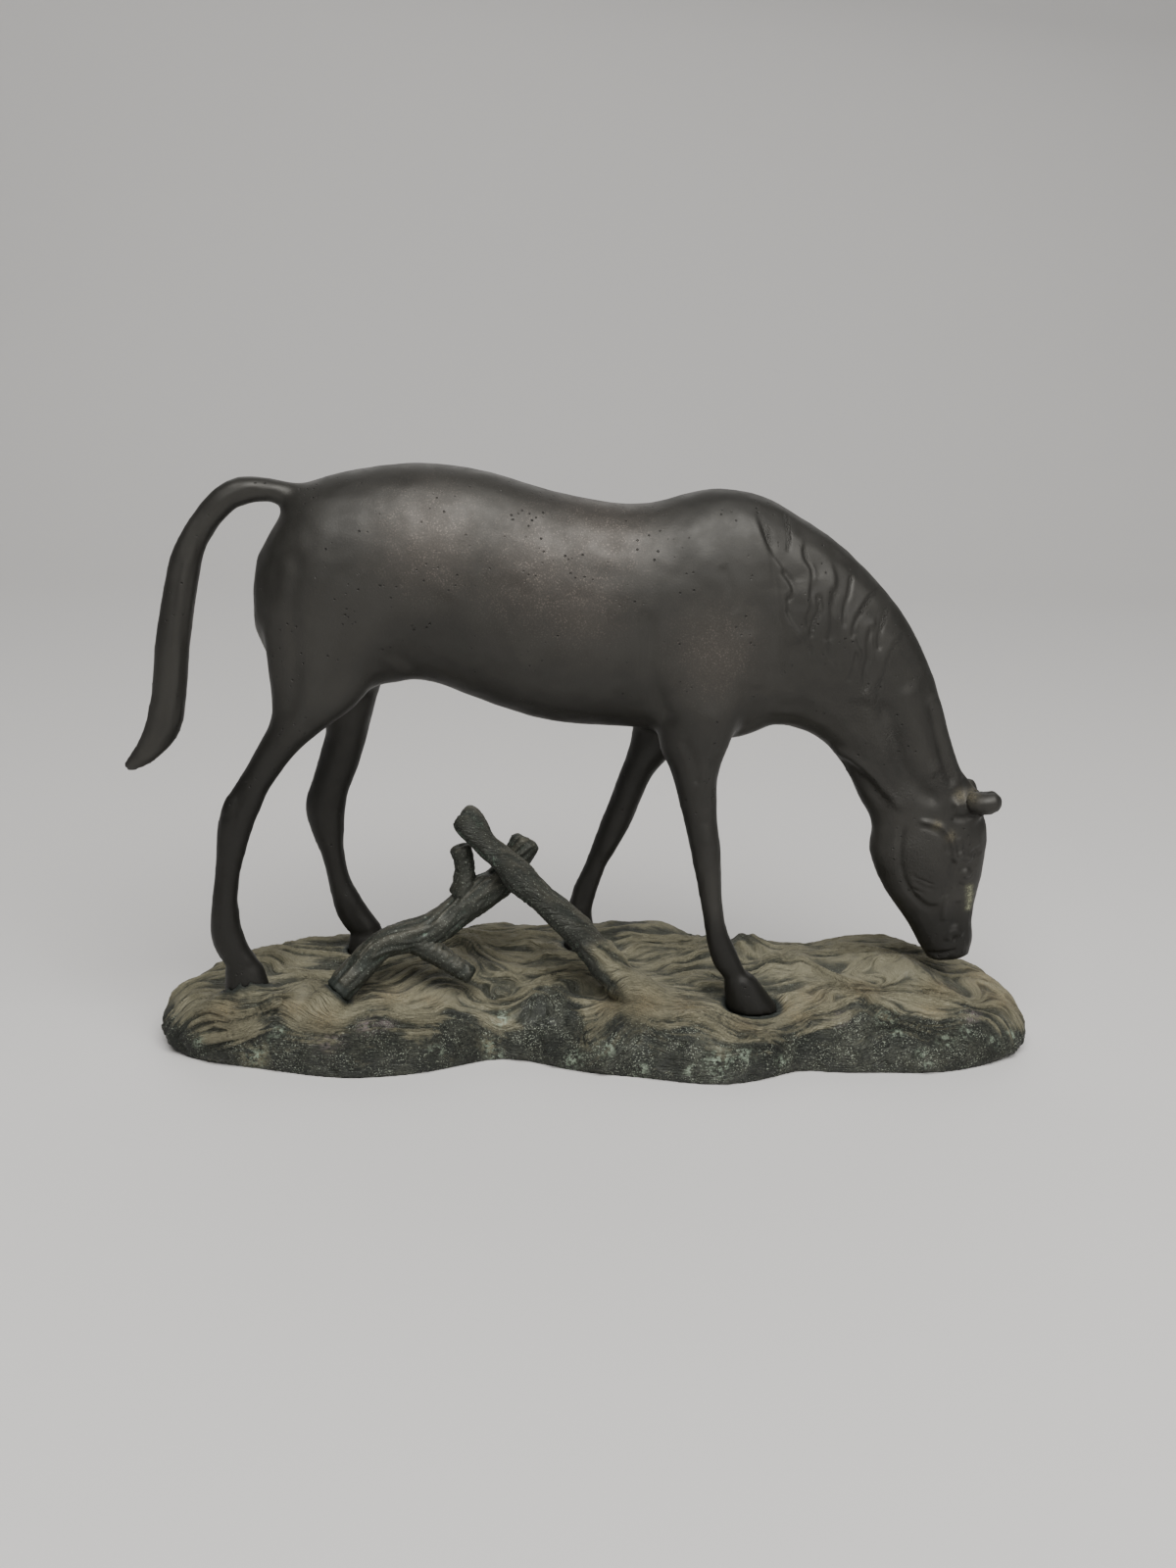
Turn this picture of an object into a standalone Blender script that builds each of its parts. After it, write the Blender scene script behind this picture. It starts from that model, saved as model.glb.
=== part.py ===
"""A bronze grazing horse on a ground base, with a leaning branch and a forked branch under its belly."""

import math
from collections import namedtuple

import bmesh
import bpy
from mathutils import Matrix, Vector

# Base sizes, in metres.
base_length = 0.303
base_front_reach = 0.0345
base_back_reach = 0.0385
base_middle = 0.0025
ground_level = 0.0228
ground_slope = 0.13
side_bulge_height = 0.0055
end_lift = 0.005
end_lift_reach = 0.015
foot_insets = ((0.0002, 0.0034), (0.0006, 0.0014), (0.0011, 0.0))

# How square the base is in plan, at its ends and over its front and back edges, as powers of a rounded
# outline.
plan_power = 3
end_power = (7, 2.4)
front_power = (3.4, 1.7)
back_power = (7, 2.2)

# Horse sizes, in metres.
horse_height = 0.178
horse_settle = 0.0008
horse_plane = -0.002
leg_spread = 0.028
hip_spread = 0.0195
ear_root_spread = 0.0125
ear_tip_spread = 0.0168

# Branch sizes, in metres.
leaning_branch_radius = 0.0050
forked_branch_radius = 0.0050
stub_radius = 0.0033
twig_radius = 0.0034

# Clearance between touching pieces, and the fineness of the cast surfaces.
fit_gap = 0.0003
merge_distance = 0.00002
surface_grain = 0.0015
surface_softening = 5
sharp_angle = math.radians(50)
sections_between = 3
branch_steps = 2
horse_sides = 20
hoof_sides = 16
branch_sides = 12
horse_triangles = 4300
base_stations = 58
end_trim = 0.00022725
base_across = 15

# Rounding of the ends of limbs and branches: how far the end is pushed out, and how large it stays.
limb_cap = (0.35, 0.55)
branch_cap = (0.25, 0.72)

# Colours and roughness of the patinas.
bronze_colour, bronze_roughness = (0.035, 0.026, 0.022), 0.4
ground_colour, ground_roughness = (0.16, 0.13, 0.08), 0.6
branch_colour, branch_roughness = (0.09, 0.085, 0.06), 0.6

# Broad forms of the ground: place along, place across, rise, spread along, spread across.
Swell = namedtuple("Swell", "along across rise spread_along spread_across")
ground_swells = dict(
    fore_hoof_hollow=Swell(0.055, -0.020, -0.0026, 0.017, 0.011),
    curl_ridge=Swell(-0.042, 0.000, 0.0026, 0.013, 0.008),
    front_peak=Swell(-0.022, -0.020, 0.0030, 0.008, 0.008),
    branch_ridge=Swell(0.016, -0.025, 0.0032, 0.009, 0.011),
    left_end_fall=Swell(-0.146, 0.004, -0.0048, 0.014, 0.034),
    back_left_rise=Swell(-0.088, 0.032, 0.0028, 0.026, 0.016),
    back_middle_rise=Swell(-0.014, 0.034, 0.0050, 0.046, 0.018),
    back_mound=Swell(0.024, 0.030, 0.0038, 0.018, 0.014),
    curl_back_rise=Swell(-0.040, 0.030, 0.0018, 0.010, 0.012),
    small_back_mound=Swell(0.057, 0.030, 0.0030, 0.008, 0.010),
    right_back_dip=Swell(0.084, 0.030, -0.0012, 0.009, 0.012),
    right_back_mound=Swell(0.108, 0.026, 0.0042, 0.018, 0.014),
    grass_ridge=Swell(0.112, 0.002, 0.0026, 0.014, 0.007),
    right_front_mound=Swell(0.130, -0.018, 0.0020, 0.012, 0.008),
)

# Mounds around the feet that are sunk in the ground, on top of its rounded edge, and the power by which
# they fade towards that edge.
mound_fade = 0.25
foot_mounds = dict(
    near_hind=Swell(-0.1195, -0.0205, 0.0165, 0.012, 0.009),
    far_hind=Swell(-0.0800, 0.0100, 0.0060, 0.013, 0.010),
    far_fore=Swell(-0.0060, 0.0085, 0.0075, 0.011, 0.010),
    forked_branch=Swell(-0.0975, -0.0215, 0.0030, 0.007, 0.006),
    leaning_branch=Swell(0.0195, -0.0150, 0.0045, 0.009, 0.008),
)

# Lobes and bays of the base outline: place along, reach and spread.
Lobe = namedtuple("Lobe", "along reach spread")
front_lobes = dict(
    left_lobe=Lobe(-0.087, 0.0050, 0.022),
    bay=Lobe(-0.031, -0.0135, 0.021),
    middle_lobe=Lobe(0.040, 0.0080, 0.022),
    small_bay=Lobe(0.070, -0.0040, 0.010),
    right_lobe=Lobe(0.122, 0.0045, 0.020),
)
back_lobes = dict(
    left_bay=Lobe(-0.070, -0.0030, 0.020),
    middle_lobe=Lobe(0.010, 0.0015, 0.025),
    right_bay=Lobe(0.066, -0.0035, 0.015),
)

# Sections of the horse, in hundredths of its height. Each one is named and gives its two edge points,
# place along and height above the ground each, and its half width.
Section = namedtuple("Section", "along_a height_a along_b height_b half_width")
trunk = dict(
    rump=Section(-64.2, 83.0, -64.8, 69.5, 5.1),
    buttock=Section(-60.4, 89.8, -61.2, 62.0, 9.8),
    thigh=Section(-55.3, 96.4, -55.3, 57.0, 12.4),
    croup=Section(-47.4, 99.1, -47.4, 57.5, 13.5),
    hip=Section(-34.9, 100.8, -34.9, 60.2, 13.8),
    loin=Section(-22.4, 99.6, -22.4, 56.0, 13.1),
    barrel=Section(-9.5, 96.0, -9.5, 52.4, 14.0),
    girth=Section(5.9, 94.0, 5.9, 51.5, 13.8),
    withers=Section(17.3, 97.2, 17.3, 49.8, 12.4),
    shoulder=Section(25.8, 97.0, 25.8, 49.5, 11.2),
    breast=Section(32.6, 94.2, 32.6, 52.3, 9.0),
)
neck = dict(
    neck_root=Section(28.6, 96.0, 32.0, 52.1, 10.1),
    neck_low=Section(40.8, 89.3, 35.4, 52.1, 9.3),
    neck_middle=Section(48.8, 82.8, 40.0, 50.6, 8.4),
    neck_high=Section(55.7, 75.5, 43.7, 48.1, 7.6),
    crest=Section(60.1, 68.8, 46.1, 45.2, 6.7),
    nape=Section(63.8, 61.1, 48.6, 41.4, 6.2),
    throat=Section(66.7, 52.0, 50.1, 38.2, 5.6),
    poll=Section(70.0, 44.1, 52.4, 34.7, 5.3),
    brow=Section(73.2, 39.3, 53.2, 31.6, 5.3),
    eye=Section(76.3, 32.2, 52.8, 28.2, 5.9),
    cheek=Section(76.2, 25.9, 53.8, 24.8, 5.6),
    face=Section(75.8, 21.4, 56.4, 19.6, 4.9),
    bridge=Section(75.0, 16.9, 60.1, 14.6, 4.0),
    nose=Section(74.8, 12.9, 62.7, 10.9, 3.7),
    nostril=Section(75.2, 9.3, 64.8, 7.2, 3.7),
    lips=Section(74.7, 5.9, 66.7, 4.9, 2.9),
)
near_ear = dict(
    root=Section(71.2, 40.3, 73.2, 34.7, 1.6),
    middle=Section(73.7, 39.9, 75.1, 36.3, 1.3),
    tip=Section(77.1, 40.3, 77.4, 38.6, 0.6),
)
far_ear = dict(
    root=Section(69.5, 40.4, 72.0, 35.6, 1.5),
    middle=Section(71.7, 40.7, 73.3, 37.3, 1.2),
    tip=Section(73.6, 40.7, 74.2, 39.5, 0.6),
)
tail = dict(
    dock=Section(-53.6, 96.3, -54.8, 90.6, 2.8),
    root=Section(-61.0, 97.1, -61.6, 92.6, 2.5),
    arch=Section(-67.3, 97.4, -66.4, 91.9, 2.8),
    bend=Section(-72.4, 94.6, -68.7, 90.6, 2.8),
    fall=Section(-76.9, 88.9, -71.5, 87.2, 2.9),
    upper=Section(-80.1, 82.7, -73.7, 83.2, 3.1),
    swell=Section(-81.9, 74.8, -75.2, 75.6, 3.1),
    middle=Section(-83.5, 66.2, -76.6, 66.8, 3.1),
    lower=Section(-84.3, 57.4, -77.5, 57.1, 2.9),
    flare=Section(-85.8, 50.9, -78.4, 50.9, 2.7),
    kick=Section(-87.8, 46.5, -81.0, 46.3, 2.2),
    wisp=Section(-89.6, 44.1, -84.6, 43.1, 1.6),
    tip=Section(-90.4, 42.7, -88.8, 41.1, 0.8),
)
near_hind_leg = dict(
    haunch=Section(-63.2, 71.1, -40.6, 71.1, 5.6),
    thigh=Section(-61.9, 60.6, -43.5, 58.6, 5.9),
    stifle=Section(-61.6, 53.9, -51.0, 52.4, 5.1),
    gaskin=Section(-64.2, 48.6, -56.3, 48.0, 4.0),
    shank=Section(-67.7, 42.3, -61.4, 41.2, 3.3),
    hock=Section(-70.4, 38.2, -63.0, 37.8, 3.1),
    hock_base=Section(-71.7, 34.0, -64.6, 34.0, 3.0),
    cannon_top=Section(-72.2, 28.4, -66.3, 28.4, 2.6),
    cannon=Section(-72.6, 22.7, -67.7, 22.7, 2.4),
    fetlock_top=Section(-73.4, 17.0, -67.9, 17.0, 2.6),
    fetlock=Section(-73.6, 12.4, -67.2, 12.7, 2.8),
    pastern=Section(-72.8, 9.0, -65.9, 9.3, 2.7),
    coronet=Section(-70.7, 5.9, -63.7, 6.3, 2.8),
)
far_hind_leg = dict(
    haunch=Section(-60.4, 71.3, -38.3, 71.3, 5.6),
    thigh=Section(-58.2, 60.5, -40.9, 60.5, 5.6),
    stifle=Section(-52.8, 50.1, -43.6, 51.5, 4.5),
    gaskin=Section(-53.2, 46.4, -44.7, 46.5, 3.9),
    shank=Section(-54.5, 41.5, -46.3, 41.1, 3.4),
    hock=Section(-56.2, 36.4, -48.1, 36.2, 3.1),
    hock_base=Section(-57.0, 33.3, -48.8, 32.7, 3.0),
    cannon_top=Section(-56.1, 28.8, -49.0, 28.8, 2.8),
    cannon=Section(-54.1, 23.7, -49.0, 24.0, 2.5),
    fetlock_top=Section(-52.7, 18.6, -48.0, 18.7, 2.4),
    fetlock=Section(-51.9, 14.0, -45.8, 14.3, 2.7),
    pastern=Section(-50.6, 10.1, -43.4, 10.6, 2.7),
    coronet=Section(-48.6, 7.1, -41.4, 8.1, 2.8),
)
near_fore_leg = dict(
    shoulder=Section(10.6, 65.4, 27.1, 65.4, 5.3),
    arm=Section(10.0, 56.9, 26.0, 56.9, 5.6),
    elbow=Section(10.3, 49.4, 23.9, 50.3, 5.1),
    forearm=Section(12.6, 44.9, 22.1, 44.9, 4.2),
    shank=Section(14.1, 39.8, 21.8, 39.8, 3.5),
    knee_top=Section(15.7, 34.1, 22.2, 34.4, 3.1),
    knee=Section(16.7, 30.1, 22.9, 30.3, 3.1),
    cannon_top=Section(17.8, 25.2, 23.3, 25.5, 2.8),
    cannon=Section(19.0, 20.1, 23.7, 19.8, 2.4),
    fetlock_top=Section(20.2, 14.1, 24.8, 14.0, 2.5),
    fetlock=Section(20.9, 10.7, 26.3, 10.6, 2.7),
    pastern=Section(22.3, 6.5, 28.0, 7.0, 2.6),
    coronet=Section(24.6, 3.5, 29.9, 3.0, 2.6),
)
far_fore_leg = dict(
    shoulder=Section(7.6, 64.5, 24.1, 64.5, 5.3),
    arm=Section(7.1, 56.6, 21.8, 56.6, 5.1),
    elbow=Section(6.4, 48.9, 17.3, 48.1, 4.8),
    forearm=Section(5.4, 44.1, 13.4, 43.5, 3.9),
    shank=Section(4.0, 40.1, 10.8, 40.1, 3.4),
    knee_top=Section(2.5, 35.0, 9.0, 35.2, 3.1),
    knee=Section(0.9, 30.5, 7.3, 30.5, 3.0),
    cannon_top=Section(-0.6, 25.9, 5.0, 25.8, 2.7),
    cannon=Section(-2.1, 21.4, 2.6, 21.4, 2.4),
    fetlock_top=Section(-4.0, 17.2, 1.0, 16.6, 2.5),
    fetlock=Section(-5.1, 13.2, -0.1, 12.3, 2.6),
    pastern=Section(-5.2, 9.5, 0.3, 9.5, 2.6),
    coronet=Section(-4.9, 6.7, 0.8, 6.7, 2.7),
)

# Hooves, in hundredths of the horse's height: heel and toe at the coronet, its height, then heel and toe
# at the sole, the half width there and how deep the sole lies in the ground.
Hoof = namedtuple("Hoof", "top_heel top_toe top_height heel toe half_width sink")
near_hind_hoof = Hoof(-70.9, -63.6, 6.4, -71.0, -61.6, 3.4, 0.7)
far_hind_hoof = Hoof(-48.4, -41.0, 7.4, -48.6, -39.0, 3.6, 0.7)
near_fore_hoof = Hoof(24.4, 30.4, 4.6, 25.4, 35.8, 3.8, 0.7)
far_fore_hoof = Hoof(-5.1, 1.0, 6.6, -6.0, 2.0, 3.5, 0.7)
hooves = dict(
    near_hind=(near_hind_hoof, -leg_spread / 2),
    far_hind=(far_hind_hoof, leg_spread / 2),
    near_fore=(near_fore_hoof, -leg_spread / 2),
    far_fore=(far_fore_hoof, leg_spread / 2),
)

# How full a hoof is on its way down: share of the height, fullness there. It is narrower at the coronet.
hoof_profile = ((0.0, 0.86), (0.12, 0.97), (0.55, 1.0), (0.92, 1.0), (1.0, 0.97))
coronet_width = 0.74
heel_power = 0.8

# Courses of the branches, in metres: named points with place along, across and height over the ground's
# level, and thickness as a share of the branch's own radius.
Knot = namedtuple("Knot", "along across height share")
leaning_branch = dict(
    knob=Knot(-0.0464, -0.0110, 0.0611, 0.95),
    neck=Knot(-0.0439, -0.0115, 0.0588, 1.06),
    upper=Knot(-0.0382, -0.0125, 0.0516, 0.76),
    crossing=Knot(-0.0316, -0.0135, 0.0458, 0.86),
    split=Knot(-0.0268, -0.0140, 0.0407, 1.06),
    middle=Knot(-0.0198, -0.0145, 0.0340, 0.90),
    lower=Knot(-0.0137, -0.0150, 0.0289, 1.00),
    shin=Knot(-0.0069, -0.0160, 0.0223, 1.07),
    foot=Knot(-0.0003, -0.0165, 0.0144, 1.01),
    root=Knot(0.0076, -0.0165, 0.0048, 1.20),
    spread=Knot(0.0158, -0.0165, 0.0005, 1.25),
    buried=Knot(0.0250, -0.0165, -0.0085, 1.30),
)
forked_branch = dict(
    foot=Knot(-0.0877, -0.0190, 0.0018, 1.01),
    bend=Knot(-0.0818, -0.0165, 0.0083, 0.94),
    arch=Knot(-0.0737, -0.0140, 0.0163, 0.91),
    fork=Knot(-0.0665, -0.0120, 0.0184, 1.03),
    limb=Knot(-0.0555, -0.0100, 0.0213, 1.10),
    middle=Knot(-0.0479, -0.0080, 0.0267, 1.06),
    crotch=Knot(-0.0396, -0.0055, 0.0329, 1.21),
    crossing=Knot(-0.0342, -0.0037, 0.0356, 1.08),
    upper=Knot(-0.0286, -0.0017, 0.0428, 0.95),
    end=Knot(-0.0251, 0.0000, 0.0492, 1.02),
)
forked_foot_stump = dict(
    buried=Knot(-0.0955, -0.0208, -0.0120, 1.20),
    flare=Knot(-0.0934, -0.0205, -0.0058, 1.34),
    collar=Knot(-0.0904, -0.0200, -0.0006, 1.14),
    seam=Knot(-0.0872, -0.0188, 0.0023, 0.98),
)
upright_stub = dict(
    root=Knot(-0.0463, -0.0070, 0.0327, 1.33),
    middle=Knot(-0.0454, -0.0065, 0.0417, 0.97),
    end=Knot(-0.0471, -0.0065, 0.0487, 0.99),
)
lower_twig = dict(
    root=Knot(-0.0618, -0.0120, 0.0174, 1.29),
    middle=Knot(-0.0524, -0.0140, 0.0118, 0.99),
    end=Knot(-0.0436, -0.0152, 0.0064, 0.84),
)

piece_collection = bpy.data.collections.new("grazing_horse")
cutter_collection = bpy.data.collections.new("cutters")


def clear_scene():
    """Remove everything that the start-up scene holds."""
    for thing in list(bpy.data.objects):
        bpy.data.objects.remove(thing, do_unlink=True)


def material(name, colour, roughness):
    """A patinated bronze surface."""
    surface = bpy.data.materials.new(name)
    surface.use_nodes = True
    shader = surface.node_tree.nodes["Principled BSDF"]
    shader.inputs["Base Color"].default_value = (*colour, 1.0)
    shader.inputs["Metallic"].default_value = 0.7
    shader.inputs["Roughness"].default_value = roughness
    return surface


def add_object(name, shape, collection):
    """Turn a finished bmesh into an object with outward faces."""
    bmesh.ops.recalc_face_normals(shape, faces=shape.faces)
    mesh = bpy.data.meshes.new(name)
    shape.to_mesh(mesh)
    shape.free()
    thing = bpy.data.objects.new(name, mesh)
    collection.objects.link(thing)
    return thing


def loft(shape, rings):
    """Skin a closed body over rings of points, with a flat face at both ends."""
    loops = [[shape.verts.new(point) for point in ring] for ring in rings]
    for first, second in zip(loops, loops[1:]):
        for corner in range(len(first)):
            after = (corner + 1) % len(first)
            shape.faces.new((first[corner], first[after], second[after], second[corner]))
    shape.faces.new(list(reversed(loops[0])))
    shape.faces.new(loops[-1])


def between(values, place):
    """Read a smooth curve through the given rows of values at a place counted in rows."""
    last = len(values) - 1
    step = min(int(place), last - 1)
    t = place - step
    before, start = values[max(step - 1, 0)], values[step]
    end, after = values[step + 1], values[min(step + 2, last)]
    return [
        0.5 * (2 * b + (c - a) * t + (2 * a - 5 * b + 4 * c - d) * t * t + (3 * b - a - 3 * c + d) * t ** 3)
        for a, b, c, d in zip(before, start, end, after)
    ]


def limb(shape, sections, root_side, end_side):
    """A rounded limb through the named sections; it leans from the root's side place to the end's."""
    rows = [list(section) for section in sections.values()]
    count = (len(rows) - 1) * sections_between
    unit = horse_height / 100
    rings = []
    for number in range(count + 1):
        along_a, height_a, along_b, height_b, half_width = between(rows, number / sections_between)
        blend = min(1.0, 2.0 * number / count)
        side = horse_plane + root_side + (end_side - root_side) * blend
        middle = Vector(((along_a + along_b) / 2, 0, (height_a + height_b) / 2)) * unit
        edge = Vector(((along_a - along_b) / 2, 0, (height_a - height_b) / 2)) * unit
        middle += Vector((0, side, ground_level - horse_settle))
        across = Vector((0, half_width * unit, 0))
        rings.append(
            [
                middle + edge * math.cos(turn) + across * math.sin(turn)
                for turn in (2 * math.pi * corner / horse_sides for corner in range(horse_sides))
            ]
        )
    for outer, inner, sign in ((0, 1, 1), (-1, -2, -1)):
        centre = sum(rings[outer], Vector()) / horse_sides
        push = (centre - sum(rings[inner], Vector()) / horse_sides) * limb_cap[0]
        cap = [centre + push + (point - centre) * limb_cap[1] for point in rings[outer]]
        rings.insert(0 if sign > 0 else len(rings), cap)
    loft(shape, rings)


def hoof_rings(hoof, sole, swell):
    """Level rings of a hoof from inside the pastern down to its sole, grown by a clearance."""
    unit = horse_height / 100
    top = ground_level - horse_settle + hoof.top_height * unit
    bottom = sole - swell
    rings = []
    for share, fullness in hoof_profile:
        heel = (hoof.top_heel + (hoof.heel - hoof.top_heel) * share) * unit
        toe = (hoof.top_toe + (hoof.toe - hoof.top_toe) * share) * unit
        widening = coronet_width + (1 - coronet_width) * share
        half_width = hoof.half_width * widening * unit * fullness + swell
        half_length = (toe - heel) / 2 * fullness + swell
        height = top + (bottom - top) * share
        rings.append(((heel + toe) / 2, half_length, half_width, height))
    return rings


def hoof_body(shape, hoof, side, sole, swell):
    """A hoof with a round toe and a squarer heel."""
    rings = []
    for middle, half_length, half_width, height in hoof_rings(hoof, sole, swell):
        ring = []
        for corner in range(hoof_sides):
            turn = 2 * math.pi * corner / hoof_sides
            reach = math.cos(turn)
            along = middle + half_length * (reach if reach > 0 else -abs(reach) ** heel_power)
            ring.append(Vector((along, horse_plane + side + half_width * math.sin(turn), height)))
        rings.append(ring)
    loft(shape, rings)


def swelling(swells, along, across):
    """How far the given swells lift the ground over a place on the base."""
    height = 0.0
    for swell in swells.values():
        reach = ((along - swell.along) / swell.spread_along) ** 2
        reach += ((across - swell.across) / swell.spread_across) ** 2
        height += swell.rise * math.exp(-reach)
    return height


def ground_height(along, across):
    """Height of the ground over a place on the base, without its rounded edge and the mounds at the feet."""
    return ground_level + ground_slope * across + swelling(ground_swells, along, across)


def edge_reach(along, reach, lobes):
    """How far the base's edge lies from its middle line, without the rounding of its ends."""
    for lobe in lobes.values():
        reach += lobe.reach * math.exp(-(((along - lobe.along) / lobe.spread) ** 2))
    return reach


def base_section(share):
    """One closed section of the ground across its length; the share runs from -1 to 1."""
    along = base_middle + share * base_length / 2
    end = (1 - abs(share) ** plan_power) ** (1 / plan_power)
    drop = (1 - abs(share) ** end_power[0]) ** (1 / end_power[1])
    front = -edge_reach(along, base_front_reach, front_lobes) * end
    back = edge_reach(along, base_back_reach, back_lobes) * end
    centre, half = (front + back) / 2, (back - front) / 2
    from_end = (1 - abs(share)) * base_length / 2
    lift = end_lift * max(0.0, 1 - from_end / end_lift_reach) ** 2
    bulge = side_bulge_height
    ring = []
    for number in range(base_across):
        place = math.sin(math.pi / 2 * (2 * number / (base_across - 1) - 1))
        across = centre + half * place
        power = front_power if place < 0 else back_power
        shoulder = (1 - abs(place) ** power[0]) ** (1 / power[1])
        roll = drop * shoulder
        rise = (ground_height(along, across) - bulge) * roll
        mound = swelling(foot_mounds, along, across) * roll ** mound_fade
        ring.append(Vector((along, across, bulge + max(rise, 0.0) + mound)))
    for inset, height in foot_insets:
        ring.append(Vector((along, back - min(inset, half / 3), max(height, lift))))
    for inset, height in reversed(foot_insets):
        ring.append(Vector((along, front + min(inset, half / 3), max(height, lift))))
    return ring


def base_body():
    """The cast ground: a loft of cross sections along its length."""
    shape = bmesh.new()
    sections = []
    for number in range(base_stations + 1):
        even = 2 * number / base_stations - 1
        crowded = math.sin(math.pi / 2 * even)
        sections.append(base_section((even + crowded) / 2 * (1 - 2 * end_trim / base_length)))
    loft(shape, sections)
    return add_object("ground_base", shape, piece_collection)


def branch_body(name, knots, radius, swell, collection):
    """A round branch through its knots, grown by a clearance where it is a cutter."""
    rows = [list(knot) for knot in knots.values()]
    count = (len(rows) - 1) * branch_steps
    centres, sizes = [], []
    for number in range(count + 1):
        along, across, height, share = between(rows, number / branch_steps)
        centres.append(Vector((along, across, ground_level + height)))
        sizes.append(share * radius + swell)
    start = (centres[0] - centres[1]).normalized()
    finish = (centres[-1] - centres[-2]).normalized()
    push, size = branch_cap
    centres = [centres[0] + start * sizes[0] * push, *centres, centres[-1] + finish * sizes[-1] * push]
    sizes = [sizes[0] * size, *sizes, sizes[-1] * size]
    shape = bmesh.new()
    rings = []
    for number, centre in enumerate(centres):
        ahead = centres[min(number + 1, len(centres) - 1)] - centres[max(number - 1, 0)]
        side = Vector((0, 1, 0)) - ahead * (ahead.y / ahead.length_squared)
        side.normalize()
        over = side.cross(ahead.normalized())
        rings.append(
            [
                centre + (side * math.cos(turn) + over * math.sin(turn)) * sizes[number]
                for turn in (2 * math.pi * corner / branch_sides for corner in range(branch_sides))
            ]
        )
    loft(shape, rings)
    return add_object(name, shape, collection)


def apply_modifiers(thing):
    """Keep the evaluated form of an object as its own mesh."""
    graph = bpy.context.evaluated_depsgraph_get()
    mesh = bpy.data.meshes.new_from_object(thing.evaluated_get(graph))
    thing.modifiers.clear()
    thing.data = mesh


def combine(thing, other, operation):
    """Join an object with another one, or cut the other one from it."""
    modifier = thing.modifiers.new(operation.lower(), "BOOLEAN")
    modifier.operation = operation
    modifier.solver = "EXACT"
    modifier.object = other
    apply_modifiers(thing)


def horse_body(soles):
    """The whole horse as one casting."""
    shape = bmesh.new()
    for sections in (trunk, neck, tail):
        limb(shape, sections, 0.0, 0.0)
    for sections, sign in ((near_ear, -1), (far_ear, 1)):
        limb(shape, sections, sign * ear_root_spread / 2, sign * ear_tip_spread / 2)
    for sections, sign in ((near_hind_leg, -1), (far_hind_leg, 1), (near_fore_leg, -1), (far_fore_leg, 1)):
        limb(shape, sections, sign * hip_spread / 2, sign * leg_spread / 2)
    horse = add_object("horse", shape, piece_collection)
    remesh = horse.modifiers.new("cast_surface", "REMESH")
    remesh.mode = "VOXEL"
    remesh.voxel_size = surface_grain
    smooth = horse.modifiers.new("soften", "SMOOTH")
    smooth.factor = 0.5
    smooth.iterations = surface_softening
    apply_modifiers(horse)
    thin = horse.modifiers.new("thin_out", "DECIMATE")
    triangles = sum(len(face.vertices) - 2 for face in horse.data.polygons)
    thin.ratio = horse_triangles / triangles
    apply_modifiers(horse)
    for name, (hoof, side) in hooves.items():
        cast = bmesh.new()
        hoof_body(cast, hoof, side, soles[name], 0.0)
        tool = add_object(name, cast, cutter_collection)
        combine(horse, tool, "UNION")
    return horse


def finish(thing, surface):
    """Merge doubled points, shade the round faces smooth and give the piece its material."""
    shape = bmesh.new()
    shape.from_mesh(thing.data)
    bmesh.ops.remove_doubles(shape, verts=shape.verts, dist=merge_distance)
    bmesh.ops.dissolve_degenerate(shape, edges=shape.edges, dist=merge_distance)
    bmesh.ops.triangulate(shape, faces=shape.faces)
    bmesh.ops.recalc_face_normals(shape, faces=shape.faces)
    for edge in shape.edges:
        edge.smooth = len(edge.link_faces) == 2 and edge.calc_face_angle() < sharp_angle
    for face in shape.faces:
        face.smooth = True
    shape.to_mesh(thing.data)
    shape.free()
    thing.data.materials.clear()
    thing.data.materials.append(surface)


def centre_on_origin(pieces):
    """Move every piece so that the middle of the whole footprint lies over the origin."""
    corners = [vertex.co for piece in pieces for vertex in piece.data.vertices]
    middle = [(min(c[axis] for c in corners) + max(c[axis] for c in corners)) / 2 for axis in (0, 1)]
    for piece in pieces:
        piece.data.transform(Matrix.Translation((-middle[0], -middle[1], 0)))


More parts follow.
